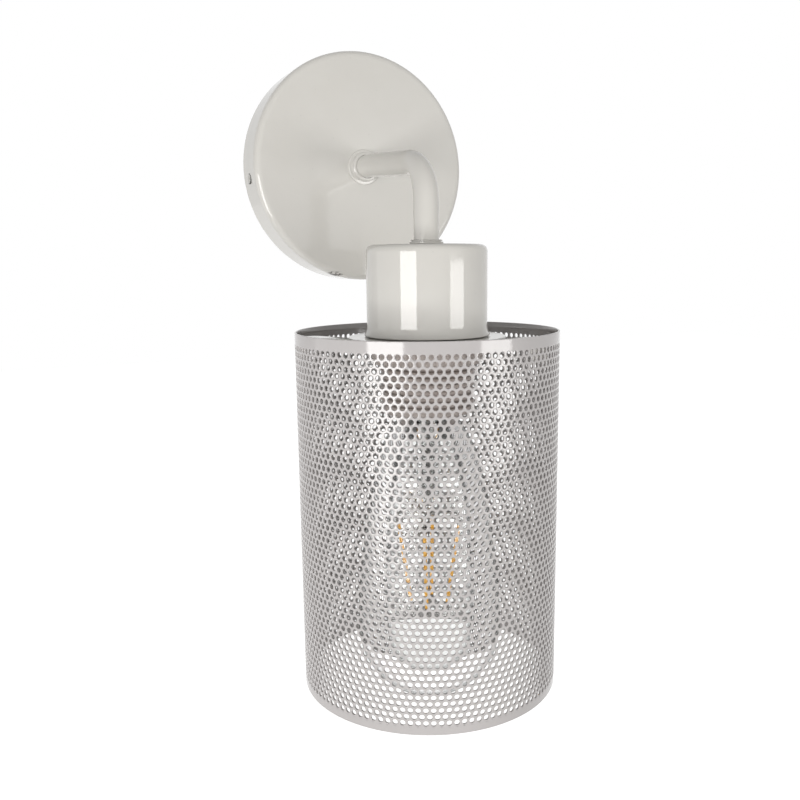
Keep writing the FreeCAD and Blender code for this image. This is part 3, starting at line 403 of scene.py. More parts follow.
# %% Worked metal
metal, start, end = new_group(
    "worked_metal",
    [("Vector", "Vector", None), ("Line Scale", "Float", 900.0), ("Patch Scale", "Float", 60.0)],
    [("Height", "Float"), ("Patches", "Float"), ("Tarnish", "Float")])
given = start.outputs
feed(metal, noise(metal, given["Vector"], given["Line Scale"], 3.0, 0.6), end, "Height")
patches = noise(metal, given["Vector"], given["Patch Scale"], 5.0, 0.6)
feed(metal, spread(metal, patches, 0.35, 0.65), end, "Patches")
feed(metal, spread(metal, patches, 0.56, 0.75), end, "Tarnish")
print(metal.name, len(metal.nodes), "nodes")

# %% Moulded grain
grain, start, end = new_group(
    "moulded_grain",
    [("Vector", "Vector", None), ("Grain Scale", "Float", 1500.0), ("Flow Scale", "Float", 30.0)],
    [("Height", "Float"), ("Flow", "Float")])
given = start.outputs
feed(grain, noise(grain, given["Vector"], given["Grain Scale"], 2.0, 0.6), end, "Height")
flow = noise(grain, given["Vector"], given["Flow Scale"], 3.0, 0.5, distortion=0.8)
feed(grain, spread(grain, flow, 0.3, 0.7), end, "Flow")
print(grain.name, len(grain.nodes), "nodes")

# %% [markdown]
# ## A blank material
# Every finish starts the same way: coordinates fixed to the object, a Principled shader and a
# Bump node. Coordinates in metres are small numbers, so texture scales are in marks per metre.

# %% Blank material
def blank_material(name):
    """(material, tree, object coordinates, Principled shader) with the shader on the output."""
    material = bpy.data.materials.new(name)
    material.use_nodes = True
    tree = material.node_tree
    tree.nodes.clear()
    shader = add(tree, "BsdfPrincipled")
    feed(tree, shader.outputs[0], add(tree, "OutputMaterial"), "Surface")
    return material, tree, add(tree, "TexCoord").outputs["Object"], shader


def roughen(tree, shader, mask, low, high):
    """Lets a mask move the surface's roughness between two values."""
    feed(tree, spread(tree, mask, 0.0, 1.0, low, high), shader, "Roughness")


def bump(tree, shader, height, strength, depth):
    """Raises the surface's normal by a height mask; depth is in metres."""
    made = set_sockets(add(tree, "Bump"), Strength=strength, Distance=depth)
    feed(tree, height, made, "Height")
    feed(tree, made.outputs[0], shader, "Normal")


def axis_distance(tree, place):
    """The distance of a place from the lamp axis, in metres."""
    where = axes(tree, place)
    return hypotenuse(tree, where["X"], calculate(tree, "ADD", where["Y"], ARM_REACH * MM))


print("blank material ready")

# %% [markdown]
# ## Sprayed paints
# All the light's outside metal is sprayed, with two paints. Paint isn't a single colour: it
# drifts over a hand's width, and fine dust and specks sit in it. One function makes the coat, and
# each paint then adds what is its own.

# %% Sprayed paint
def sprayed_material(name, scales, clouds, coverings):
    """A material with a sprayed coat: the scales of its peel, clouds and specks, the two colours
    of its clouds, and the amount and colour of what covers it, by the name of its mask."""
    material, tree, place, shader = blank_material(name)
    peel, cloud, speck = scales
    effect = place_group(tree, coat, place, Peel_Scale=peel, Cloud_Scale=cloud, Speck_Scale=speck)
    colour = blend_colours(tree, effect["Cloud"], *clouds)
    for mask, (amount, tint) in coverings.items():
        colour = blend_colours(tree, product(tree, effect[mask], amount), colour, tint)
    return material, tree, place, shader, effect, colour


print("sprayed paint ready")

# %% [markdown]
# ## White gloss paint
# The canopy, arm, cup and spider are sprayed in one warm white, a little yellower where it is
# thick. Two small knocks at the canopy's lower edge have chipped it to the dark metal. They are
# found by their place: below a height, and between stretches along X and Y.

# %% White paint
KNOCK_HEIGHT, KNOCK_ACROSS, KNOCK_DEPTH = -48.4, (-19, -17, -13, -11), (-20.0, -19.3, -16.0, -14.0)
BARE_METAL, BARE_ROUGHNESS = (0.09, 0.08, 0.075), 0.4

white_paint, tree, place, shader, effect, colour = sprayed_material(
    "white_paint", (620.0, 16.0, 190.0), ((0.655, 0.640, 0.602), (0.700, 0.688, 0.655)),
    {"Dust": (0.22, (0.60, 0.585, 0.55)), "Specks": (0.25, (0.50, 0.49, 0.46))})
where = axes(tree, place)
near = product(tree, calculate(tree, "LESS_THAN", where["Z"], KNOCK_HEIGHT * MM),
               window(tree, where["X"], KNOCK_ACROSS), window(tree, where["Y"], KNOCK_DEPTH))
chip = product(tree, near, spread(tree, noise(tree, place, 420.0, 2.0), 0.46, 0.49))
feed(tree, blend_colours(tree, chip, colour, BARE_METAL), shader, "Base Color")
gloss = spread(tree, effect["Cloud"], 0.0, 1.0, 0.05, 0.085)
feed(tree, calculate(tree, "ADD", gloss, product(tree, chip, BARE_ROUGHNESS)), shader, "Roughness")
set_sockets(shader, IOR=1.58)
bump(tree, shader, effect["Height"], 0.08, 0.0001)
print("white_paint", len(tree.nodes), "nodes")

# %% [markdown]
# ## Shade paint
# The perforated sheet has a thinner, cooler and darker coat than the cup. Its inside face, which is
# found by its distance from the lamp's axis, is painted darker grey, a painted shade for the dim inside.

# %% Shade paint
INSIDE_STARTS, INSIDE_FULL, INSIDE_SHADE_GREY = 54.5 * MM, 54.3 * MM, (0.30, 0.283, 0.275)

shade_paint, tree, place, shader, effect, colour = sprayed_material(
    "shade_paint", (800.0, 20.0, 230.0), ((0.470, 0.449, 0.447), (0.512, 0.491, 0.489)),
    {"Dust": (0.4, (0.47, 0.45, 0.44)), "Specks": (0.2, (0.42, 0.40, 0.40))})
# Painted shade: the inside face is darkened to stand in for the shade inside the sleeve.
inside = spread(tree, axis_distance(tree, place), INSIDE_STARTS, INSIDE_FULL)
feed(tree, blend_colours(tree, inside, colour, INSIDE_SHADE_GREY), shader, "Base Color")
roughen(tree, shader, effect["Cloud"], 0.085, 0.115)
set_sockets(shader, IOR=1.66)
bump(tree, shader, effect["Height"], 0.10, 0.0001)
print("shade_paint", len(tree.nodes), "nodes")

# %% [markdown]
# ## Painted screws
# The two side screws were painted with the canopy, and a driver has since dulled their heads.
# The outer ring of each head is painted near-black, a painted shade for the gap round it, and outlines it.

# %% Painted screw
SCREW_Y, SCREW_Z = middle_of("canopy_screws")[1:]
RING_STARTS, RING_FULL, GAP_SHADE = 1.95 * MM, 2.15 * MM, (0.05, 0.048, 0.045)

painted_screw, tree, place, shader, effect, colour = sprayed_material(
    "painted_screw", (900.0, 60.0, 600.0), ((0.52, 0.51, 0.48), (0.64, 0.63, 0.60)),
    {"Specks": (1.0, (0.30, 0.29, 0.28))})
where = axes(tree, place)
distance = hypotenuse(tree, calculate(tree, "SUBTRACT", where["Y"], SCREW_Y * MM),
                      calculate(tree, "SUBTRACT", where["Z"], SCREW_Z * MM))
# Painted shade: the head's outer ring is darkened where the gap round the head lies in shade.
colour = blend_colours(tree, spread(tree, distance, RING_STARTS, RING_FULL), colour, GAP_SHADE)
feed(tree, colour, shader, "Base Color")
roughen(tree, shader, effect["Cloud"], 0.22, 0.4)
bump(tree, shader, effect["Height"], 0.15, 0.0001)
print("painted_screw", len(tree.nodes), "nodes")

# %% [markdown]
# ## Metals
# Zinc plate on the wall bracket is cloudy and grey, brass is warm with darker tarnish, the bulb's
# cap is thin bright nickel, and the wires inside the bulb are dark. One function makes all four
# from the worked metal group, with each metal's own colours and roughness.

# %% Metals
def metal_material(name, clean, tarnished, roughness, line_scale, patch_scale):
    """Bare metal: two colours, a range of roughness, and the scale of its lines and patches."""
    material, tree, place, shader = blank_material(name)
    effect = place_group(tree, metal, place, Line_Scale=line_scale, Patch_Scale=patch_scale)
    feed(tree, blend_colours(tree, effect["Tarnish"], clean, tarnished), shader, "Base Color")
    roughen(tree, shader, effect["Patches"], *roughness)
    set_sockets(shader, Metallic=1.0)
    bump(tree, shader, effect["Height"], 0.15, 0.00005)
    print(name, len(tree.nodes), "nodes")
    return material


zinc_steel = metal_material("zinc_steel", (0.62, 0.63, 0.65), (0.48, 0.48, 0.47), (0.28, 0.45),
                            1400.0, 90.0)
brass = metal_material("brass", (0.80, 0.60, 0.28), (0.55, 0.38, 0.17), (0.22, 0.38), 1600.0, 120.0)
nickel = metal_material("nickel", (0.72, 0.71, 0.69), (0.56, 0.54, 0.50), (0.16, 0.30), 1800.0, 80.0)
support_wire = metal_material("support_wire", (0.20, 0.19, 0.18), (0.10, 0.09, 0.08), (0.3, 0.45),
                              2500.0, 200.0)

# %% [markdown]
# ## Plastics
# The lampholder and its ring are moulded in a white that has a touch of pink, the terminal block
# is a milky clear plastic, and the bulb's insulator is glazed black. Their grain is much finer
# than the paint's ripple. Something can lie over the moulded colour: the lampholder's thread roots
# are painted dark as painted shade in its grooves, and an earth lead is green with a yellow stripe
# that winds along it.

# %% Plastics
THREAD_ROOTS, THREAD_ROOT_SHADE = (18.4, 18.5, 18.95, 19.35), (0.24, 0.205, 0.185)
YELLOW = (0.75, 0.60, 0.03)


def plastic_material(name, first, second, roughness, scales, overlay=None, relief=(0.12, 0.00006)):
    """Moulded plastic: two close colours, a range of roughness, the scales of its grain and flow,
    and its relief's strength and depth. overlay(tree, place, colour) may paint over the colour."""
    material, tree, place, shader = blank_material(name)
    effect = place_group(tree, grain, place, Grain_Scale=scales[0], Flow_Scale=scales[1])
    colour = blend_colours(tree, effect["Flow"], first, second)
    feed(tree, overlay(tree, place, colour) if overlay else colour, shader, "Base Color")
    roughen(tree, shader, effect["Flow"], *roughness)
    bump(tree, shader, effect["Height"], *relief)
    print(name, len(tree.nodes), "nodes")
    return material


def shaded_thread_roots(tree, place, colour):
    """Painted shade in the roots of the lampholder's thread."""
    # Painted shade: the thread's roots are darkened where shade falls in the grooves.
    roots = window(tree, axis_distance(tree, place), THREAD_ROOTS)
    return blend_colours(tree, roots, colour, THREAD_ROOT_SHADE)


def yellow_stripe(tree, place, colour):
    """A stripe that winds along a lead, with an edge that wanders a little."""
    wave = add(tree, "TexWave", wave_type="BANDS", bands_direction="DIAGONAL")
    set_sockets(wave, Scale=130.0, Distortion=0.6, Detail=1.0)
    feed(tree, place, wave, "Vector")
    return blend_colours(tree, spread(tree, wave.outputs["Fac"], 0.45, 0.55), colour, YELLOW)


holder_plastic = plastic_material("holder_plastic", (0.60, 0.53, 0.50), (0.68, 0.61, 0.58), (0.30, 0.42),
                                  (1700.0, 45.0), overlay=shaded_thread_roots)
block_plastic = plastic_material("block_plastic", (0.72, 0.72, 0.68), (0.80, 0.80, 0.76), (0.2, 0.32),
                                 (1500.0, 120.0))
black_insulator = plastic_material("black_insulator", (0.02, 0.02, 0.022), (0.04, 0.038, 0.04), (0.08, 0.2),
                                   (900.0, 200.0))
brown_lead = plastic_material("brown_lead", (0.16, 0.07, 0.035), (0.22, 0.10, 0.05), (0.3, 0.42),
                              (1200.0, 150.0))
blue_lead = plastic_material("blue_lead", (0.02, 0.07, 0.30), (0.03, 0.10, 0.38), (0.3, 0.42),
                             (1200.0, 150.0))
earth_lead = plastic_material("earth_lead", (0.05, 0.26, 0.04), (0.07, 0.33, 0.06), (0.3, 0.42),
                              (1200.0, 150.0), overlay=yellow_stripe)

# %% [markdown]
# ## Glass and filament
# Blown glass is clear with a faint ripple. Where it's seen edge on it is mixed towards a dim tint,
# a painted shade for the darker surroundings that real glass shows in its edges. A lamp's light has
# to pass through it to what is behind, and following that light through glass is slow, so the
# material lets rays that come from lamps straight through. A filament stick is a row of tiny
# emitters under a yellow phosphor coat, matt and grainy, and it isn't lit in the picture.

# %% Glass
EDGE_STARTS, EDGE_FULL, EDGE_SHARE = 0.50, 0.85, 0.9
CLEAREST, LAMP_RAY_TINT = (0.985, 0.99, 0.99), (0.96, 0.96, 0.96)


def glass_material(name, tint, edge_shade_tint, roughness, ripple_scale, ripple_depth):
    """Clear glass with a ripple, with painted shade where it's seen edge on, that lets lamps shine through.
    """
    material, tree, place, shader = blank_material(name)
    effect = place_group(tree, grain, place, Grain_Scale=ripple_scale, Flow_Scale=ripple_scale / 4)
    feed(tree, blend_colours(tree, effect["Flow"], tint, CLEAREST), shader, "Base Color")
    set_sockets(shader, Roughness=roughness, IOR=1.47, Transmission_Weight=1.0)
    bump(tree, shader, effect["Height"], 0.2, ripple_depth)
    rim, through = add(tree, "BsdfTransparent"), add(tree, "BsdfTransparent")
    feed(tree, edge_shade_tint, rim, "Color")
    feed(tree, LAMP_RAY_TINT, through, "Color")
    # Painted shade: glass seen edge on is mixed towards the edge tint, for the darker surroundings it would
    # show.
    facing = add(tree, "LayerWeight").outputs["Facing"]
    edge_on = spread(tree, facing, EDGE_STARTS, EDGE_FULL, 0.0, EDGE_SHARE)
    outlined = mix_shaders(tree, edge_on, shader.outputs[0], rim.outputs[0])
    from_lamp = add(tree, "LightPath").outputs["Is Shadow Ray"]
    result = mix_shaders(tree, from_lamp, outlined, through.outputs[0])
    feed(tree, result, tree.nodes["Material Output"], "Surface")
    print(name, len(tree.nodes), "nodes")
    return material


bulb_glass = glass_material("bulb_glass", (0.90, 0.906, 0.90), (0.50, 0.505, 0.50), 0.0, 90.0, 0.00002)
# The stem's grey tint and near-black edge tint are painted shade for the dark room seen through it.
stem_glass = glass_material("stem_glass", (0.50, 0.50, 0.49), (0.12, 0.12, 0.12), 0.02, 260.0, 0.0002)

# %% Filament
filament = plastic_material("filament", (0.86, 0.40, 0.035), (0.95, 0.52, 0.07), (0.5, 0.7),
                            (2400.0, 500.0), relief=(0.5, 0.0001))

# %% [markdown]
# ## Finish the engineering parts
# Most of the model's parts already have the right shape. Each takes its finish by name from the
# record, which says which material slot every node uses.

# %% Assign the finishes
FINISHES = {
    "white_paint": white_paint, "painted_screw": painted_screw, "shade_paint": shade_paint,
    "zinc_steel": zinc_steel, "brass": brass, "nickel": nickel, "holder_plastic": holder_plastic,
    "block_plastic": block_plastic, "black_insulator": black_insulator, "bulb_glass": bulb_glass,
    "stem_glass": stem_glass, "filament": filament, "support_wire": support_wire,
    "brown_lead": brown_lead, "blue_lead": blue_lead, "earth_lead": earth_lead,
}
slot_of = {part["node"]: part["material_slot"] for part in frame["record"]["subparts"]}
for name, part in frame["nodes"].items():
    for held in part.material_slots:
        held.material = FINISHES[slot_of[name]]
print("finished", len(frame["nodes"]), "nodes with", len(FINISHES), "materials")

# %% [markdown]
# ## Mesh helpers
# Turned parts come from a profile that is spun into rings of points. A ring's radius may change
# with the angle, which is how a thread or a fluted edge is made. Wires and tubes are rings too,
# set along a path. Pieces are built from lists of points and faces, get smooth shading, and ride
# on the body that carries them.

# %% Pieces
def make_piece(name, points, faces, finish, body, replaced, smooth_angle=40):
    """A piece from points and faces in metres, with its finish, that takes the place of an
    engineering part and rides on a body. Edges sharper than smooth_angle stay crisp."""
    mesh = bpy.data.meshes.new(name)
    mesh.from_pydata([tuple(point) for point in points], [], [tuple(face) for face in faces])
    mesh.validate()
    mesh.materials.append(FINISHES[finish])
    mesh.shade_smooth()
    mesh.set_sharp_from_angle(angle=math.radians(smooth_angle))
    piece = bpy.data.objects.new(name, mesh)
    bpy.context.collection.objects.link(piece)
    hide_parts(*replaced)
    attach(piece, body)
    print(name, len(faces), "faces,", size_of(piece))


def size_of(piece):
    """A piece's width, depth and height in millimetres, as text."""
    points = np.array([vertex.co for vertex in piece.data.vertices])
    return " x ".join(f"{extent / MM:.1f}" for extent in points.max(axis=0) - points.min(axis=0)) + " mm"


def join(parts):
    """Several (points, faces) pairs as one."""
    points, faces, start = [], [], 0
    for some_points, some_faces in parts:
        points += [tuple(point) for point in some_points]
        faces += [tuple(index + start for index in face) for face in some_faces]
        start += len(some_points)
    return points, faces


def at(turn, radius, drop):
    """A point in millimetres at a turn, in degrees from the room side, about the lamp axis."""
    angle = math.radians(turn)
    return (radius * math.sin(angle), LAMP_AXIS.y / MM - radius * math.cos(angle), -drop)


print("piece helpers ready")

# %% Rings and spins
def ring_faces(rows, segments, closed=False):
    """The quads between rows of ring points; closed also joins the last row to the first."""
    faces = []
    for row in range(rows if closed else rows - 1):
        here, below = row * segments, (row + 1) % rows * segments
        for step in range(segments):
            after = (step + 1) % segments
            faces.append((here + step, here + after, below + after, below + step))
    return faces


def last_ring(rows, segments):
    """One face that closes the last row of ring points."""
    return tuple(range((rows - 1) * segments, rows * segments))


def spin_grid(profile, segments, radius_at=None, closed=True):
    """Points and faces of a profile [(radius, drop)] in millimetres spun about the lamp axis.
    radius_at(index, angle, radius, drop) may change a point's radius."""
    points = []
    for index, (radius, drop) in enumerate(profile):
        for step in range(segments):
            angle = 2 * math.pi * step / segments
            far = radius_at(index, angle, radius, drop) if radius_at else radius
            points.append((far * math.cos(angle) * MM, far * math.sin(angle) * MM + LAMP_AXIS.y, -drop * MM))
    return points, ring_faces(len(profile), segments, closed)


print("ring helpers ready")

# %% [markdown]
# A soft outline or a bent wire needs only a few knots, because a curve is drawn through them. A
# sweep then sets a ring square to the path at every point, and carries each ring's turn over to
# the next, so that the rod doesn't twist.

# %% Curves and sweeps
def smooth_curve(knots, steps):
    """Points on a Catmull-Rom curve through the knots."""
    knots = np.array(knots, float)
    ends = np.vstack([2 * knots[0] - knots[1], knots, 2 * knots[-1] - knots[-2]])
    curve = []
    for before, start, end, after in zip(ends, ends[1:], ends[2:], ends[3:]):
        linear, square = end - before, 2 * before - 5 * start + 4 * end - after
        cube = 3 * start - before - 3 * end + after
        for t in np.arange(steps) / steps:
            curve.append(tuple(0.5 * (2 * start + linear * t + square * t ** 2 + cube * t ** 3)))
    return curve + [tuple(knots[-1])]


def sweep(centres, radius, segments=16, bore=0.0):
    """Points and faces of a round rod, or a tube with a bore, along centre points in millimetres."""
    centres = np.array(centres, float)
    ahead = np.gradient(centres, axis=0)
    ahead /= np.linalg.norm(ahead, axis=1)[:, None]
    turns = np.arange(segments)[:, None] * 2 * math.pi / segments
    side = np.cross(ahead[0], (0.31, 0.17, 0.93))
    frames = []
    for heading in ahead:
        side = side - heading * (side @ heading)
        side /= np.linalg.norm(side)
        frames.append(side * np.cos(turns) + np.cross(heading, side) * np.sin(turns))
    rings = [centre + frame * radius for centre, frame in zip(centres, frames)]
    if bore:
        rings += [centre + frame * bore for centre, frame in zip(centres[::-1], frames[::-1])]
    faces = ring_faces(len(rings), segments, closed=bool(bore))
    if not bore:
        faces += [tuple(range(segments))[::-1], last_ring(len(rings), segments)]
    return np.concatenate(rings) * MM, faces


print("sweep helpers ready")

# %% [markdown]
# ## The perforated sleeve
# This is the part the whole light is known by: one sheet with 114 holes in each of 55 staggered
# rows, rolled into a cylinder. Cutting six thousand holes with booleans would take minutes and
# leave ragged faces. Instead, every hole is a small honeycomb cell: a twelve-sided ring inside
# a hexagon whose edge it shares with its neighbours. The cells sit on a grid of whole numbers,
# four across and six down from one to the next, so that shared points are found exactly, and the
# grid is then wrapped into a cylinder.

# %% Sleeve sizes
COLUMNS, ROWS, HOLE_SIDES = 114, 55, 12
SHADE, SHADE_TOP, SHADE_FOOT = turned_part("shade")
SHADE_SHEET, FIRST_MARGIN, LAST_MARGIN = 0.8, 5.7, 4.8
HOLE_RADIUS, RIM_WIDTH = 1.09 * MM, 0.12 * MM
FIRST_COLUMN = math.radians(-114.9)

SLEEVE_OUTER, SLEEVE_INNER = SHADE * MM, (SHADE - SHADE_SHEET) * MM
SLEEVE_TOP, SLEEVE_FOOT = -SHADE_TOP * MM, -SHADE_FOOT * MM
FIRST_ROW = -(SHADE_TOP + FIRST_MARGIN) * MM
ROW_STEP = (SHADE_FOOT - SHADE_TOP - FIRST_MARGIN - LAST_MARGIN) * MM / (ROWS - 1)

grid_turn = 2 * math.pi / (4 * COLUMNS)
grid_rise = ROW_STEP / 6
around = np.arange(HOLE_SIDES) * 2 * math.pi / HOLE_SIDES
cell_edge = np.array([(2, 0), (2, 2), (1, 3), (0, 4), (-1, 3), (-2, 2),
                      (-2, 0), (-2, -2), (-1, -3), (0, -4), (1, -3), (2, -2)])
print("holes:", COLUMNS * ROWS, "pitch", round(2 * math.pi * SLEEVE_OUTER / COLUMNS / MM, 2), "mm")

# %% Sleeve cells
row_of, column_of = np.divmod(np.arange(COLUMNS * ROWS), COLUMNS)
centres = np.stack([4 * column_of + 2 * (row_of % 2), -6 * row_of], axis=1)
corners = centres[:, None, :] + cell_edge[None]
corners[..., 0] %= 4 * COLUMNS
keys, shared = np.unique(corners.reshape(-1, 2), axis=0, return_inverse=True)
shared = shared.reshape(-1, HOLE_SIDES)


def wrap(turns, rises, radius):
    """Grid units across and up to points on a cylinder about the lamp axis."""
    angle = FIRST_COLUMN + turns * grid_turn
    return np.stack([radius * np.cos(angle), radius * np.sin(angle) + LAMP_AXIS.y,
                     FIRST_ROW + rises * grid_rise + 0 * angle], axis=-1)


def hole_ring(radius, wall):
    """Points round every hole, at a radius from its centre and a distance from the lamp axis."""
    across = centres[:, :1] + radius * np.cos(around) / (wall * grid_turn)
    upward = centres[:, 1:] + radius * np.sin(around) / grid_rise
    return wrap(across, upward, wall).reshape(-1, 3)


print("cells:", len(centres), "shared corners:", len(keys))

# %% Sleeve rings
layers = [
    wrap(keys[:, 0], keys[:, 1], SLEEVE_OUTER),
    hole_ring(HOLE_RADIUS + RIM_WIDTH, SLEEVE_OUTER),
    hole_ring(HOLE_RADIUS + 0.3 * RIM_WIDTH, SLEEVE_OUTER - 0.3 * RIM_WIDTH),
    hole_ring(HOLE_RADIUS, SLEEVE_OUTER - RIM_WIDTH),
    hole_ring(HOLE_RADIUS, SLEEVE_INNER),
    wrap(keys[:, 0], keys[:, 1], SLEEVE_INNER),
]
starts = np.cumsum([0] + [len(layer) for layer in layers])
hole_rings = [np.arange(len(centres) * HOLE_SIDES).reshape(-1, HOLE_SIDES) + start for start in starts[1:5]]
loops = [shared + starts[0], *hole_rings, shared + starts[5]]
sleeve_faces = []
for upper, lower in zip(loops, loops[1:]):
    quads = np.stack([upper, np.roll(upper, -1, axis=1), np.roll(lower, -1, axis=1), lower], axis=-1)
    sleeve_faces.append(quads.reshape(-1, 4))
print("quads round the holes:", sum(len(quads) for quads in sleeve_faces))

# %% [markdown]
# The sheet keeps a plain margin above the first row and below the last. Each margin is joined to
# the zigzag edge of the outermost cells, column by column, and ends in a rounded lip. Two rings
# close to the lip hold the flat band's shading straight, so that its highlights reach the edge.

# %% Sleeve margins
EDGE, MARGIN_ROOT, SUPPORTS = 0.2 * MM, 3.2 * MM, (0.5 * MM, 0.3 * MM)

lip = [(SLEEVE_OUTER, depth) for depth in (MARGIN_ROOT, *SUPPORTS, EDGE)]
lip += [(SLEEVE_OUTER - 0.3 * EDGE, 0.3 * EDGE), (SLEEVE_OUTER - EDGE, 0.0), (SLEEVE_INNER + EDGE, 0.0),
        (SLEEVE_INNER + 0.3 * EDGE, 0.3 * EDGE), (SLEEVE_INNER, EDGE), (SLEEVE_INNER, MARGIN_ROOT)]
sleeve_points = list(layers)
key_index = {(int(x), int(z)): index for index, (x, z) in enumerate(keys)}


def margin(zigzag, edge_height, up):
    """Adds the points and faces from a zigzag of shared corners to the lip at edge_height; up is
    1 for the upper margin and -1 for the lower."""
    turns = np.arange(4 * COLUMNS)
    rings = [zigzag + starts[0]]
    for radius, depth in lip:
        ring = wrap(turns, np.zeros(len(turns)), radius)
        ring[:, 2] = edge_height - up * depth
        rings.append(turns + sum(len(points) for points in sleeve_points))
        sleeve_points.append(ring)
    rings.append(zigzag + starts[5])
    for upper, lower in zip(rings, rings[1:]):
        quads = np.stack([upper, lower, np.roll(lower, -1), np.roll(upper, -1)], axis=-1)
        sleeve_faces.append(quads if up > 0 else quads[:, ::-1])


def zigzag_edge(row, up):
    """The shared corners along the upper (1) or lower (-1) edge of a row of cells, in order."""
    pattern = [4, 3, 2, 3]
    shift = 2 * (row % 2)
    return np.array([key_index[(turn, -6 * row + up * pattern[(turn - shift) % 4])]
                     for turn in range(4 * COLUMNS)])


margin(zigzag_edge(0, 1), SLEEVE_TOP, 1)
margin(zigzag_edge(ROWS - 1, -1), SLEEVE_FOOT, -1)
make_piece("perforated_sleeve", np.concatenate(sleeve_points), np.concatenate(sleeve_faces),
           "shade_paint", "shade_set", ("shade",), smooth_angle=50)

# %% [markdown]
# ## The arm
# The engineering model's arm is level with an even bend. The real one slumps a little towards its
# elbow, and the elbow is tight inside and round outside, as tube is when it's bent over a small
# former. The path is built from straight runs and arcs in the plane x = 0, and then swept.

# %% Arm path
SLUMP, ELBOW, SAG_START, SAG_LENGTH = math.atan(0.078), 17.0, -25.0, 10.0
TUBE, _, ARM_FOOT = turned_part("arm_tube")
ARM_ROOT = part_box("arm_tube")[1][1]


def arc(start, first, last, radius, steps):
    """Points (0, y, z) on an arc whose direction turns downward from one angle to another."""
    points = []
    for step in range(1, steps + 1):
        angle = first + (last - first) * step / steps
        points.append((0.0, start[1] - radius * (math.sin(angle) - math.sin(first)),
                       start[2] - radius * (math.cos(first) - math.cos(angle))))
    return points


def line(start, end, steps):
    """Even points from start to end, without the start."""
    return [tuple(point) for point in np.linspace(start, end, steps + 1)[1:]]


arm_path = [(0.0, ARM_ROOT, 0.0)]
arm_path += line(arm_path[-1], (0.0, SAG_START, 0.0), 6)
arm_path += arc(arm_path[-1], 0.0, SLUMP, SAG_LENGTH / math.sin(SLUMP), 8)
elbow_y = -ARM_REACH + ELBOW * (1 - math.sin(SLUMP))
fall = math.tan(SLUMP) * (arm_path[-1][1] - elbow_y)
arm_path += line(arm_path[-1], (0.0, elbow_y, arm_path[-1][2] - fall), 12)
arm_path += arc(arm_path[-1], SLUMP, math.pi / 2, ELBOW, 20)
arm_path += line(arm_path[-1], (0.0, -ARM_REACH, -ARM_FOOT), 10)
print("arm path:", len(arm_path), "points, the elbow falls", round(fall, 1), "mm")

# %% Arm
TUBE_WALL, TUBE_SIDES, CREASE = 1.0, 64, 0.72


def pinch_elbow(points, path, segments):
    """Moves the inner side of the bend outward, so that it nearly meets in a corner."""
    points = np.array(points).reshape(-1, segments, 3)
    centres = np.array(path) * MM
    ahead = np.gradient(centres, axis=0)
    for row in range(len(points)):
        index = row if row < len(path) else 2 * len(path) - 1 - row
        angle = math.atan2(-ahead[index][2], -ahead[index][1])
        turned = (angle - SLUMP) / (math.pi / 2 - SLUMP) * math.pi / 2
        if not 0 < turned < math.pi / 2:
            continue
        short = (ELBOW - TUBE) * (1 / math.cos(min(turned, math.pi / 2 - turned)) - 1) * CREASE * MM
        outward = np.array((0, -math.sin(angle), math.cos(angle)))
        for point in points[row]:
            inner = -float((point - centres[index]) @ outward) / (TUBE * MM)
            point += outward * short * max(0.0, inner)
    return points.reshape(-1, 3)


points, faces = sweep(arm_path, TUBE, TUBE_SIDES, bore=TUBE - TUBE_WALL)
points = pinch_elbow(points, arm_path, TUBE_SIDES)
make_piece("slumped_arm", points, faces, "white_paint", "fixture", ("arm_tube",))

# %% [markdown]
# The collar hides the hole where the arm enters the canopy. It is spun about the lamp axis like
# every turned part, and then laid down so that its axis is the arm's.

# %% Collar
collar_profile = [(5.35, 20.0), (8.0, 20.0), (8.0, 20.8), (7.75, 21.1), (6.75, 21.2), (6.7, 21.5),
                  (6.7, 21.9), (6.35, 22.05), (6.35, 22.15), (6.65, 22.3), (6.65, 22.75), (6.3, 22.9),
                  (6.3, 23.0), (6.55, 23.15), (6.5, 23.7), (6.2, 24.0), (5.9, 24.1), (5.35, 24.1)]
points, faces = spin_grid(collar_profile, 96)
points = [(x, z, y - LAMP_AXIS.y) for x, y, z in points]
faces = [face[::-1] for face in faces]
make_piece("grooved_collar", points, faces, "white_paint", "fixture", ("arm_collar",), smooth_angle=30)

# %% [markdown]
# ## The cup and the disc under it
# The cup is drawn from thin sheet and ends in a small rolled lip. A washer nut holds it on the
# arm. Under the cup is the disc that carries the shade on three spring arms, a little lower than
# the cup's lip, so that a dark line shows between them.

# %% Cup
_, CUP_TOP, CUP_FOOT = turned_part("cup")
CUP_WALL, CUP_CORNER, CUP_SHEET, CUP_HOLE = 25.15, 2.8, 1.0, 5.4


def cup_corner(radius):
    """The rounded edge between the cup's top and its wall, from the top down."""
    angles = [math.pi * step / 20 for step in range(1, 11)]
    middle, drop = CUP_WALL - CUP_CORNER, CUP_TOP + CUP_CORNER
    return [(middle + radius * math.sin(angle), drop - radius * math.cos(angle)) for angle in angles]


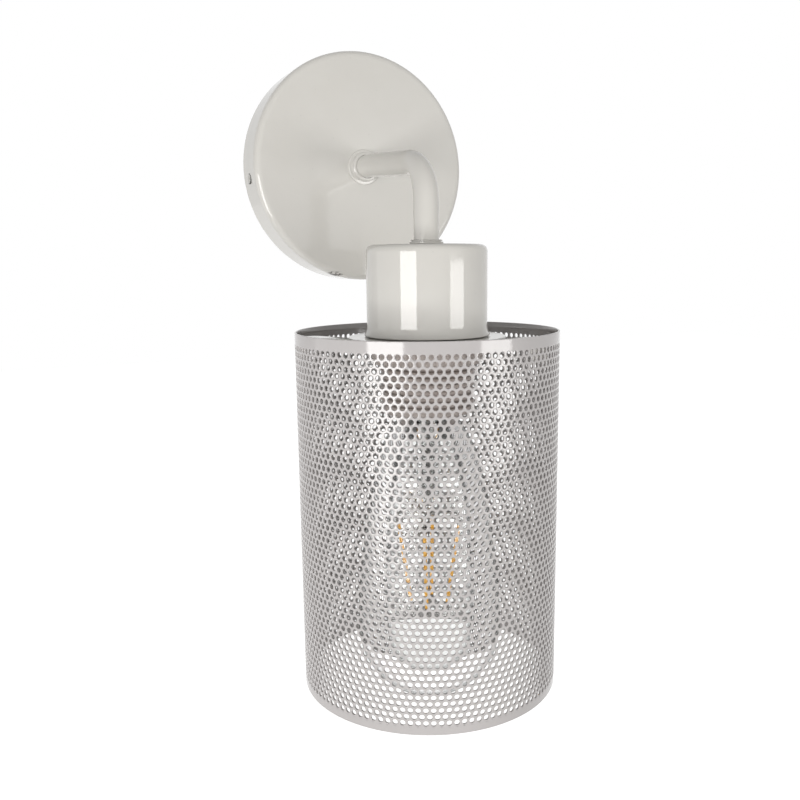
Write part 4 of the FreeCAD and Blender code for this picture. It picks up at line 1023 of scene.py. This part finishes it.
cup_outer = [(CUP_HOLE, CUP_TOP), (14.0, CUP_TOP), (22.3, CUP_TOP)] + cup_corner(CUP_CORNER)
cup_outer += [(CUP_WALL, drop) for drop in (40.35, 40.7, 42.0, 55.0, 67.5, 69.0)]
cup_outer += smooth_curve([(CUP_WALL, 69.3), (25.21, 70.6), (25.38, 71.9), (25.66, 73.0), (26.02, 73.8)], 3)
cup_outer += [(26.15, 74.1), (26.17, 74.35), (26.05, 74.55), (25.8, CUP_FOOT)]
cup_inner = [(25.4, CUP_FOOT), (25.0, 74.3), (24.5, 73.0), (24.2, 71.0)]
cup_inner += [(CUP_WALL - CUP_SHEET, drop) for drop in (69.0, 56.0, 41.0)]
cup_inner += cup_corner(CUP_CORNER - CUP_SHEET)[::-1]
cup_inner += [(22.3, CUP_TOP + CUP_SHEET), (CUP_HOLE, CUP_TOP + CUP_SHEET)]
points, faces = spin_grid(cup_outer + cup_inner, 192)
make_piece("drawn_cup", points, faces, "white_paint", "fixture", ("cup",), smooth_angle=50)

# %% Washer nut
nut_profile = [(5.3, 35.4), (6.2, 35.4), (6.6, 35.6), (6.6, 35.9), (6.1, 36.0), (6.1, 36.2),
               (7.0, 36.3), (7.0, 36.9), (6.8, 37.0), (6.2, 37.05), (6.2, CUP_TOP), (5.3, CUP_TOP)]
points, faces = spin_grid(nut_profile, 96)
make_piece("washer_nut", points, faces, "white_paint", "fixture", ("cup_top_nut",), smooth_angle=30)

# %% Disc with spring arms
DISC_TOP, DISC_SHEET, DISC_BORE, DISC_RIM, DISC_EDGE = 74.9, 1.2, 20.5, 32.8, 0.2
SPRING_ARMS, ARM_HALF_WIDTH, ARM_LIMIT = (145.6, 25.6, -94.4), 6.0, 54.1

disc_foot = DISC_TOP + DISC_SHEET
disc_profile = [(DISC_BORE, DISC_TOP + 0.1), (DISC_BORE + 0.1, DISC_TOP), (DISC_RIM - DISC_EDGE, DISC_TOP),
                (DISC_RIM, DISC_TOP + DISC_EDGE), (DISC_RIM, disc_foot - DISC_EDGE),
                (DISC_RIM - DISC_EDGE, disc_foot), (DISC_BORE, disc_foot)]
arm_line = smooth_curve([(31.6, 0.0), (34.0, -0.1), (40.0, -0.8), (46.5, -1.3), (51.6, -1.3)], 4)
arm_line += [(52.9, -1.1), (53.5, -0.4), (53.6, 0.6), (53.6, 7.6)]


def spring_arm(turn):
    """One arm: a strip whose section follows the arm's line and bends down into a tab."""
    outward = np.array(at(turn, 1, 0)) - np.array(at(turn, 0, 0))
    sideways = np.cross(outward, (0, 0, 1)) * ARM_HALF_WIDTH
    half = DISC_SHEET / 2
    slope = np.gradient(np.array(arm_line), axis=0)
    slope /= np.linalg.norm(slope, axis=1)[:, None]
    points = []
    for (radius, drop), (along, down) in zip(arm_line, slope):
        under = (radius - down * half, drop + along * half + half)
        over = (radius + down * half, drop - along * half + half)
        for (far, low), side in ((over, -1), (over, 1), (under, 1), (under, -1)):
            points.append((np.array(at(turn, min(far, ARM_LIMIT), DISC_TOP + low)) + sideways * side) * MM)
    rows = len(arm_line)
    return points, ring_faces(rows, 4) + [(3, 2, 1, 0), last_ring(rows, 4)]


points, faces = join([spin_grid(disc_profile, 160)] + [spring_arm(turn) for turn in SPRING_ARMS])
make_piece("spring_disc", points, faces, "white_paint", "shade_set", ("spider",))

# %% [markdown]
# ## Side screws
# Two small screws hold the canopy to the bar behind it. Their heads sit nearly flush in the
# painted rim, and a driver's cross is pressed into each.

# %% Side screws
HEAD, SEAT, DOME, DOME_ROWS = 2.5, 52.35, 0.35, 14
CROSS_REACH, CROSS_HALF_WIDTH, CROSS_DEPTH = 1.35, 0.33, 0.9
SHANK, SHANK_START, SHANK_END, SHANK_PITCH, SHANK_RIDGE = 1.7, 1.4, 44.4, 0.7, 0.09


def cross_depth(across, upward):
    """Depth in millimetres of a cross recess at a place on a screw's head."""
    def slot_depth(along, width):
        return max(0.0, 1 - abs(along) / CROSS_REACH) if abs(width) < CROSS_HALF_WIDTH else 0.0
    return CROSS_DEPTH * max(slot_depth(across, upward), slot_depth(upward, across)) ** 0.5


def side_screw(side):
    """A screw along x with a low domed head and a threaded shank."""
    spots, segments = [], 48
    profile = [(HEAD * row / DOME_ROWS, SEAT + DOME * (1 - (row / DOME_ROWS) ** 2))
               for row in range(DOME_ROWS + 1)]
    profile += [(HEAD, SEAT - 0.2), (1.9, SEAT - 0.25), (SHANK, SEAT - 1.3)]
    head_rows = len(profile)
    shank_rows = int((SEAT - SHANK_START - SHANK_END) / 0.1)
    profile += [(SHANK, SEAT - SHANK_START - 0.1 * row) for row in range(shank_rows)]
    for row, (radius, reach) in enumerate(profile):
        for step in range(segments):
            angle = 2 * math.pi * step / segments
            across, upward = radius * math.cos(angle), radius * math.sin(angle)
            sunk = cross_depth(across, upward) if row < DOME_ROWS else 0.0
            swell = 1.0
            if row >= head_rows:
                swell += SHANK_RIDGE * math.cos(2 * math.pi * reach / SHANK_PITCH - angle)
            spots.append((side * (reach - sunk) * MM, (SCREW_Y + across * swell) * MM,
                          (SCREW_Z + upward * swell) * MM))
    faces = ring_faces(len(profile), segments)
    if side < 0:
        faces = [face[::-1] for face in faces]
    return spots, faces + [last_ring(len(profile), segments)]


points, faces = join([side_screw(1), side_screw(-1)])
make_piece("side_screws", points, faces, "painted_screw", "fixture", ("canopy_screws",))

# %% [markdown]
# ## Screw threads
# The lampholder's outside and the bulb's cap carry rounded threads. A thread is a spun profile
# whose radius rises and falls along the axis, and the wave slides round by one pitch per turn.
# Fine rings give it a true helix without any curve work.

# %% Thread helpers
def threaded_profile(radius, top, foot, pitch, rings_per_turn=8):
    """Heights for a threaded wall, fine enough for its wave."""
    rings = int((foot - top) / pitch * rings_per_turn)
    return [(radius, top + (foot - top) * ring / rings) for ring in range(rings + 1)]


def thread_wave(drop, angle, pitch):
    """0 at the root and 1 at the crest of a rounded thread."""
    return 0.5 + 0.5 * math.cos(2 * math.pi * (drop / pitch - angle / (2 * math.pi)))


def fade(drop, top, foot, over):
    """1 inside a stretch and 0 at its ends, over a short run-out."""
    return max(0.0, min(1.0, (drop - top) / over, (foot - drop) / over))


print("thread helpers ready")

# %% Lampholder body
HOLDER, HOLDER_TOP, HOLDER_FOOT = turned_part("lampholder_body")
HOLDER_CHAMFER, HOLDER_BORE, INSERT_BORE, INSERT_FOOT = 0.8, 15.5, 17.1, 76.8
THREAD_PITCH, THREAD_DEPTH, THREAD_TOP, THREAD_FOOT, THREAD_FADE = 2.5, 1.15, 68.0, 105.6, 1.5

wall = threaded_profile(HOLDER, HOLDER_TOP, HOLDER_FOOT - HOLDER_CHAMFER, THREAD_PITCH)
inner_wall = [(HOLDER - HOLDER_CHAMFER, HOLDER_FOOT), (HOLDER_BORE, HOLDER_FOOT), (HOLDER_BORE, INSERT_FOOT),
              (INSERT_BORE, INSERT_FOOT), (INSERT_BORE, HOLDER_TOP)]


def holder_radius(index, angle, radius, drop):
    """The body's outer wall with its thread between two plain ends."""
    if index >= len(wall):
        return radius
    depth = THREAD_DEPTH * fade(drop, THREAD_TOP, THREAD_FOOT, THREAD_FADE)
    return radius - depth * (1 - thread_wave(drop, angle, THREAD_PITCH))


points, faces = spin_grid(wall + inner_wall, 96, holder_radius)
make_piece("lampholder_threads", points, faces, "holder_plastic", "fixture", ("lampholder_body",))

# %% [markdown]
# ## The ring that holds the shade
# The ring screws up the lampholder and clamps the shade's disc under the cup. Its outside is
# fluted for the fingers, so its radius dips once for every flute.

# %% Shade ring
RING, RING_TOP, RING_FOOT = turned_part("shade_ring")
FLUTES, FLUTE_DEPTH, RING_BORE = 40, 0.7, 20.2

ring_wall = [(23.0, RING_TOP), (RING, 76.8), (RING, 78.0), (RING, 82.0), (RING, 84.8),
             (23.2, 85.7), (22.4, RING_FOOT)]
ring_bore = [(20.7, RING_FOOT), (RING_BORE, 85.6), (RING_BORE, 76.7), (20.6, RING_TOP)]


def flute(index, angle, radius, drop):
    """Shallow flutes on the ring's outer wall, between its rounded ends."""
    if not 2 <= index <= 4:
        return radius
    return radius - FLUTE_DEPTH * max(0.0, math.cos(FLUTES * angle)) ** 2


points, faces = spin_grid(ring_wall + ring_bore, FLUTES * 8, flute)
make_piece("fluted_ring", points, faces, "holder_plastic", "clamp_ring", ("shade_ring",))

# %% [markdown]
# ## The bulb's cap
# A thin nickel shell with a coarse rolled thread. The inside follows the outside at the sheet's
# thickness, because the cap is pressed, not cut.

# %% Bulb cap
_, CAP_TOP, CAP_FOOT = turned_part("bulb_cap")
CAP, CAP_PITCH, CAP_DEPTH, CAP_SHEET = 12.9, 3.6, 0.9, 0.4

cap_outer = [(7.6, CAP_TOP), (11.0, 83.3), (11.9, 84.2)] + threaded_profile(CAP, 85.2, 102.5, CAP_PITCH)
cap_outer += [(CAP, 103.4), (CAP, CAP_FOOT)]
cap_inner = [(radius - CAP_SHEET, max(drop, 83.6)) for radius, drop in reversed(cap_outer)]


def cap_radius(index, angle, radius, drop):
    """The cap's rolled thread, the same on both faces of the sheet."""
    depth = CAP_DEPTH * fade(drop, 84.6, 103.0, 1.8)
    return radius - depth * (1 - thread_wave(drop, angle, CAP_PITCH)) if radius > 12 else radius


points, faces = spin_grid(cap_outer + cap_inner, 96, cap_radius)
make_piece("rolled_cap", points, faces, "nickel", "bulb", ("bulb_cap",))

# %% [markdown]
# ## The blown bulb
# A long bulb is blown in a mould: a narrow neck, a soft shoulder, a slow taper and a round end.
# Its profile is a smooth curve through a few measured radii, and the inside is the same curve a
# little smaller, so that light bends twice as it does in a real shell.

# %% Bulb glass
BALL, _, BULB_TIP = turned_part("bulb_glass")
BALL_CENTRE, GLASS_WALL, BULB_SIDES = BULB_TIP - BALL, 0.8, 128
NECK = [(12.0, 99.2), (12.0, 107.8), (14.6, 112.5), (18.4, 119.0), (21.6, 126.0), (24.6, 140.0),
        (27.2, 156.0), (29.4, 172.0), (30.8, 186.0), (BALL, 196.0), (BALL, BALL_CENTRE)]


def bulb_profile(inset):
    """The bulb's outline from neck to tip, set in by the glass's thickness."""
    outline = [(min(radius, BALL) - inset, drop) for radius, drop in smooth_curve(NECK, 5)]
    for step in range(1, 22):
        angle = math.pi / 2 * step / 22
        outline.append(((BALL - inset) * math.cos(angle), BALL_CENTRE + (BALL - inset) * math.sin(angle)))
    return outline


points, faces = spin_grid(bulb_profile(0.0), BULB_SIDES, closed=False)
inner_points, inner_faces = spin_grid(bulb_profile(GLASS_WALL), BULB_SIDES, closed=False)
offset, last = len(points), len(points) - BULB_SIDES
outer_tip, inner_tip = 2 * offset, 2 * offset + 1
points += inner_points
points += [(0, LAMP_AXIS.y, -(BALL_CENTRE + BALL - inset) * MM) for inset in (0.0, GLASS_WALL)]
faces += [tuple(index + offset for index in face[::-1]) for face in inner_faces]
for step in range(BULB_SIDES):
    after = (step + 1) % BULB_SIDES
    faces.append((last + step, last + after, outer_tip))
    faces.append((offset + last + after, offset + last + step, inner_tip))
    faces.append((after, step, offset + step, offset + after))
make_piece("blown_bulb", points, faces, "bulb_glass", "bulb", ("bulb_glass",), smooth_angle=60)

# %% [markdown]
# ## Inside the bulb
# A glass stem is sealed into the neck. Wires come down inside it and out at its end, and hold
# four sticks that lean together towards the tip, where a second set of wires gathers them.

# %% Stem
FLARE, FLARE_TOP, _ = turned_part("bulb_stem")
STEM_WALL = 0.9

stem_outer = smooth_curve([(FLARE, FLARE_TOP), (FLARE, 101.0), (9.0, 104.5), (6.2, 109.0), (5.0, 115.0),
                           (4.9, 130.0), (4.7, 142.0), (3.6, 147.6)], 5) + [(2.2, 149.3), (0.9, 149.95)]
stem_outer = [(min(radius, FLARE), drop) for radius, drop in stem_outer]
stem_inner = [(max(radius - STEM_WALL, 0.3), min(drop, 148.6)) for radius, drop in reversed(stem_outer)]
points, faces = spin_grid(stem_outer + stem_inner, 72)
make_piece("pressed_stem", points, faces, "stem_glass", "bulb", ("bulb_stem",), smooth_angle=60)

# %% Filament sticks
STICK_TURNS, STICK = (-34, 56, 146, -124), 0.8
STICK_TOP, STICK_FOOT = (13.6, 154.8), (7.7, 194.6)


def stick_ends(turn):
    """A stick's upper and lower end."""
    return np.array(at(turn, *STICK_TOP)), np.array(at(turn, *STICK_FOOT))


points, faces = join([sweep(np.linspace(*stick_ends(turn), 9), STICK, 20) for turn in STICK_TURNS])
make_piece("leaning_sticks", points, faces, "filament", "bulb", ("filaments",))

# %% [markdown]
# Each stick has a lead-in wire from the stem to its upper end and a thinner wire that gathers its
# lower end, with a small metal clip on both ends. One straight tie runs down the middle.

# %% Wires that hold the sticks
LEAD_IN, CLIP, GATHER, TIE = 0.45, 1.0, 0.36, 0.3
CLIP_OVER, CLIP_PAST = 2.2, 0.7


def stick_wires(turn):
    """The lead-in wire, the two clips and the gathering wire of one stick."""
    high, low = stick_ends(turn)
    lean = (low - high) / np.linalg.norm(low - high)
    lead_in = [at(turn, 3.0, 101.0), at(turn, 2.8, 125.0), at(turn, 2.2, 146.0), at(turn, 3.0, 150.3),
               at(turn, 9.0, 151.2), at(turn, 13.0, 152.2), tuple(high + lean * 0.3)]
    gather = [tuple(low), at(turn, 5.8, 196.8), at(turn, 2.6, 197.7), at(turn, 0.0, 197.6)]
    return [sweep(smooth_curve(lead_in, 6), LEAD_IN, 10),
            sweep([high - lean * CLIP_PAST, high, high + lean * CLIP_OVER], CLIP),
            sweep([low - lean * CLIP_OVER, low, low + lean * CLIP_PAST], CLIP),
            sweep(smooth_curve(gather, 5), GATHER, 10)]


parts = [wire for turn in STICK_TURNS for wire in stick_wires(turn)]
parts.append(sweep([at(0, 0, drop) for drop in (149.4, 165.0, 181.0, 197.6)], TIE, 10))
points, faces = join(parts)
make_piece("support_wires", points, faces, "support_wire", "bulb", ("filament_supports",))
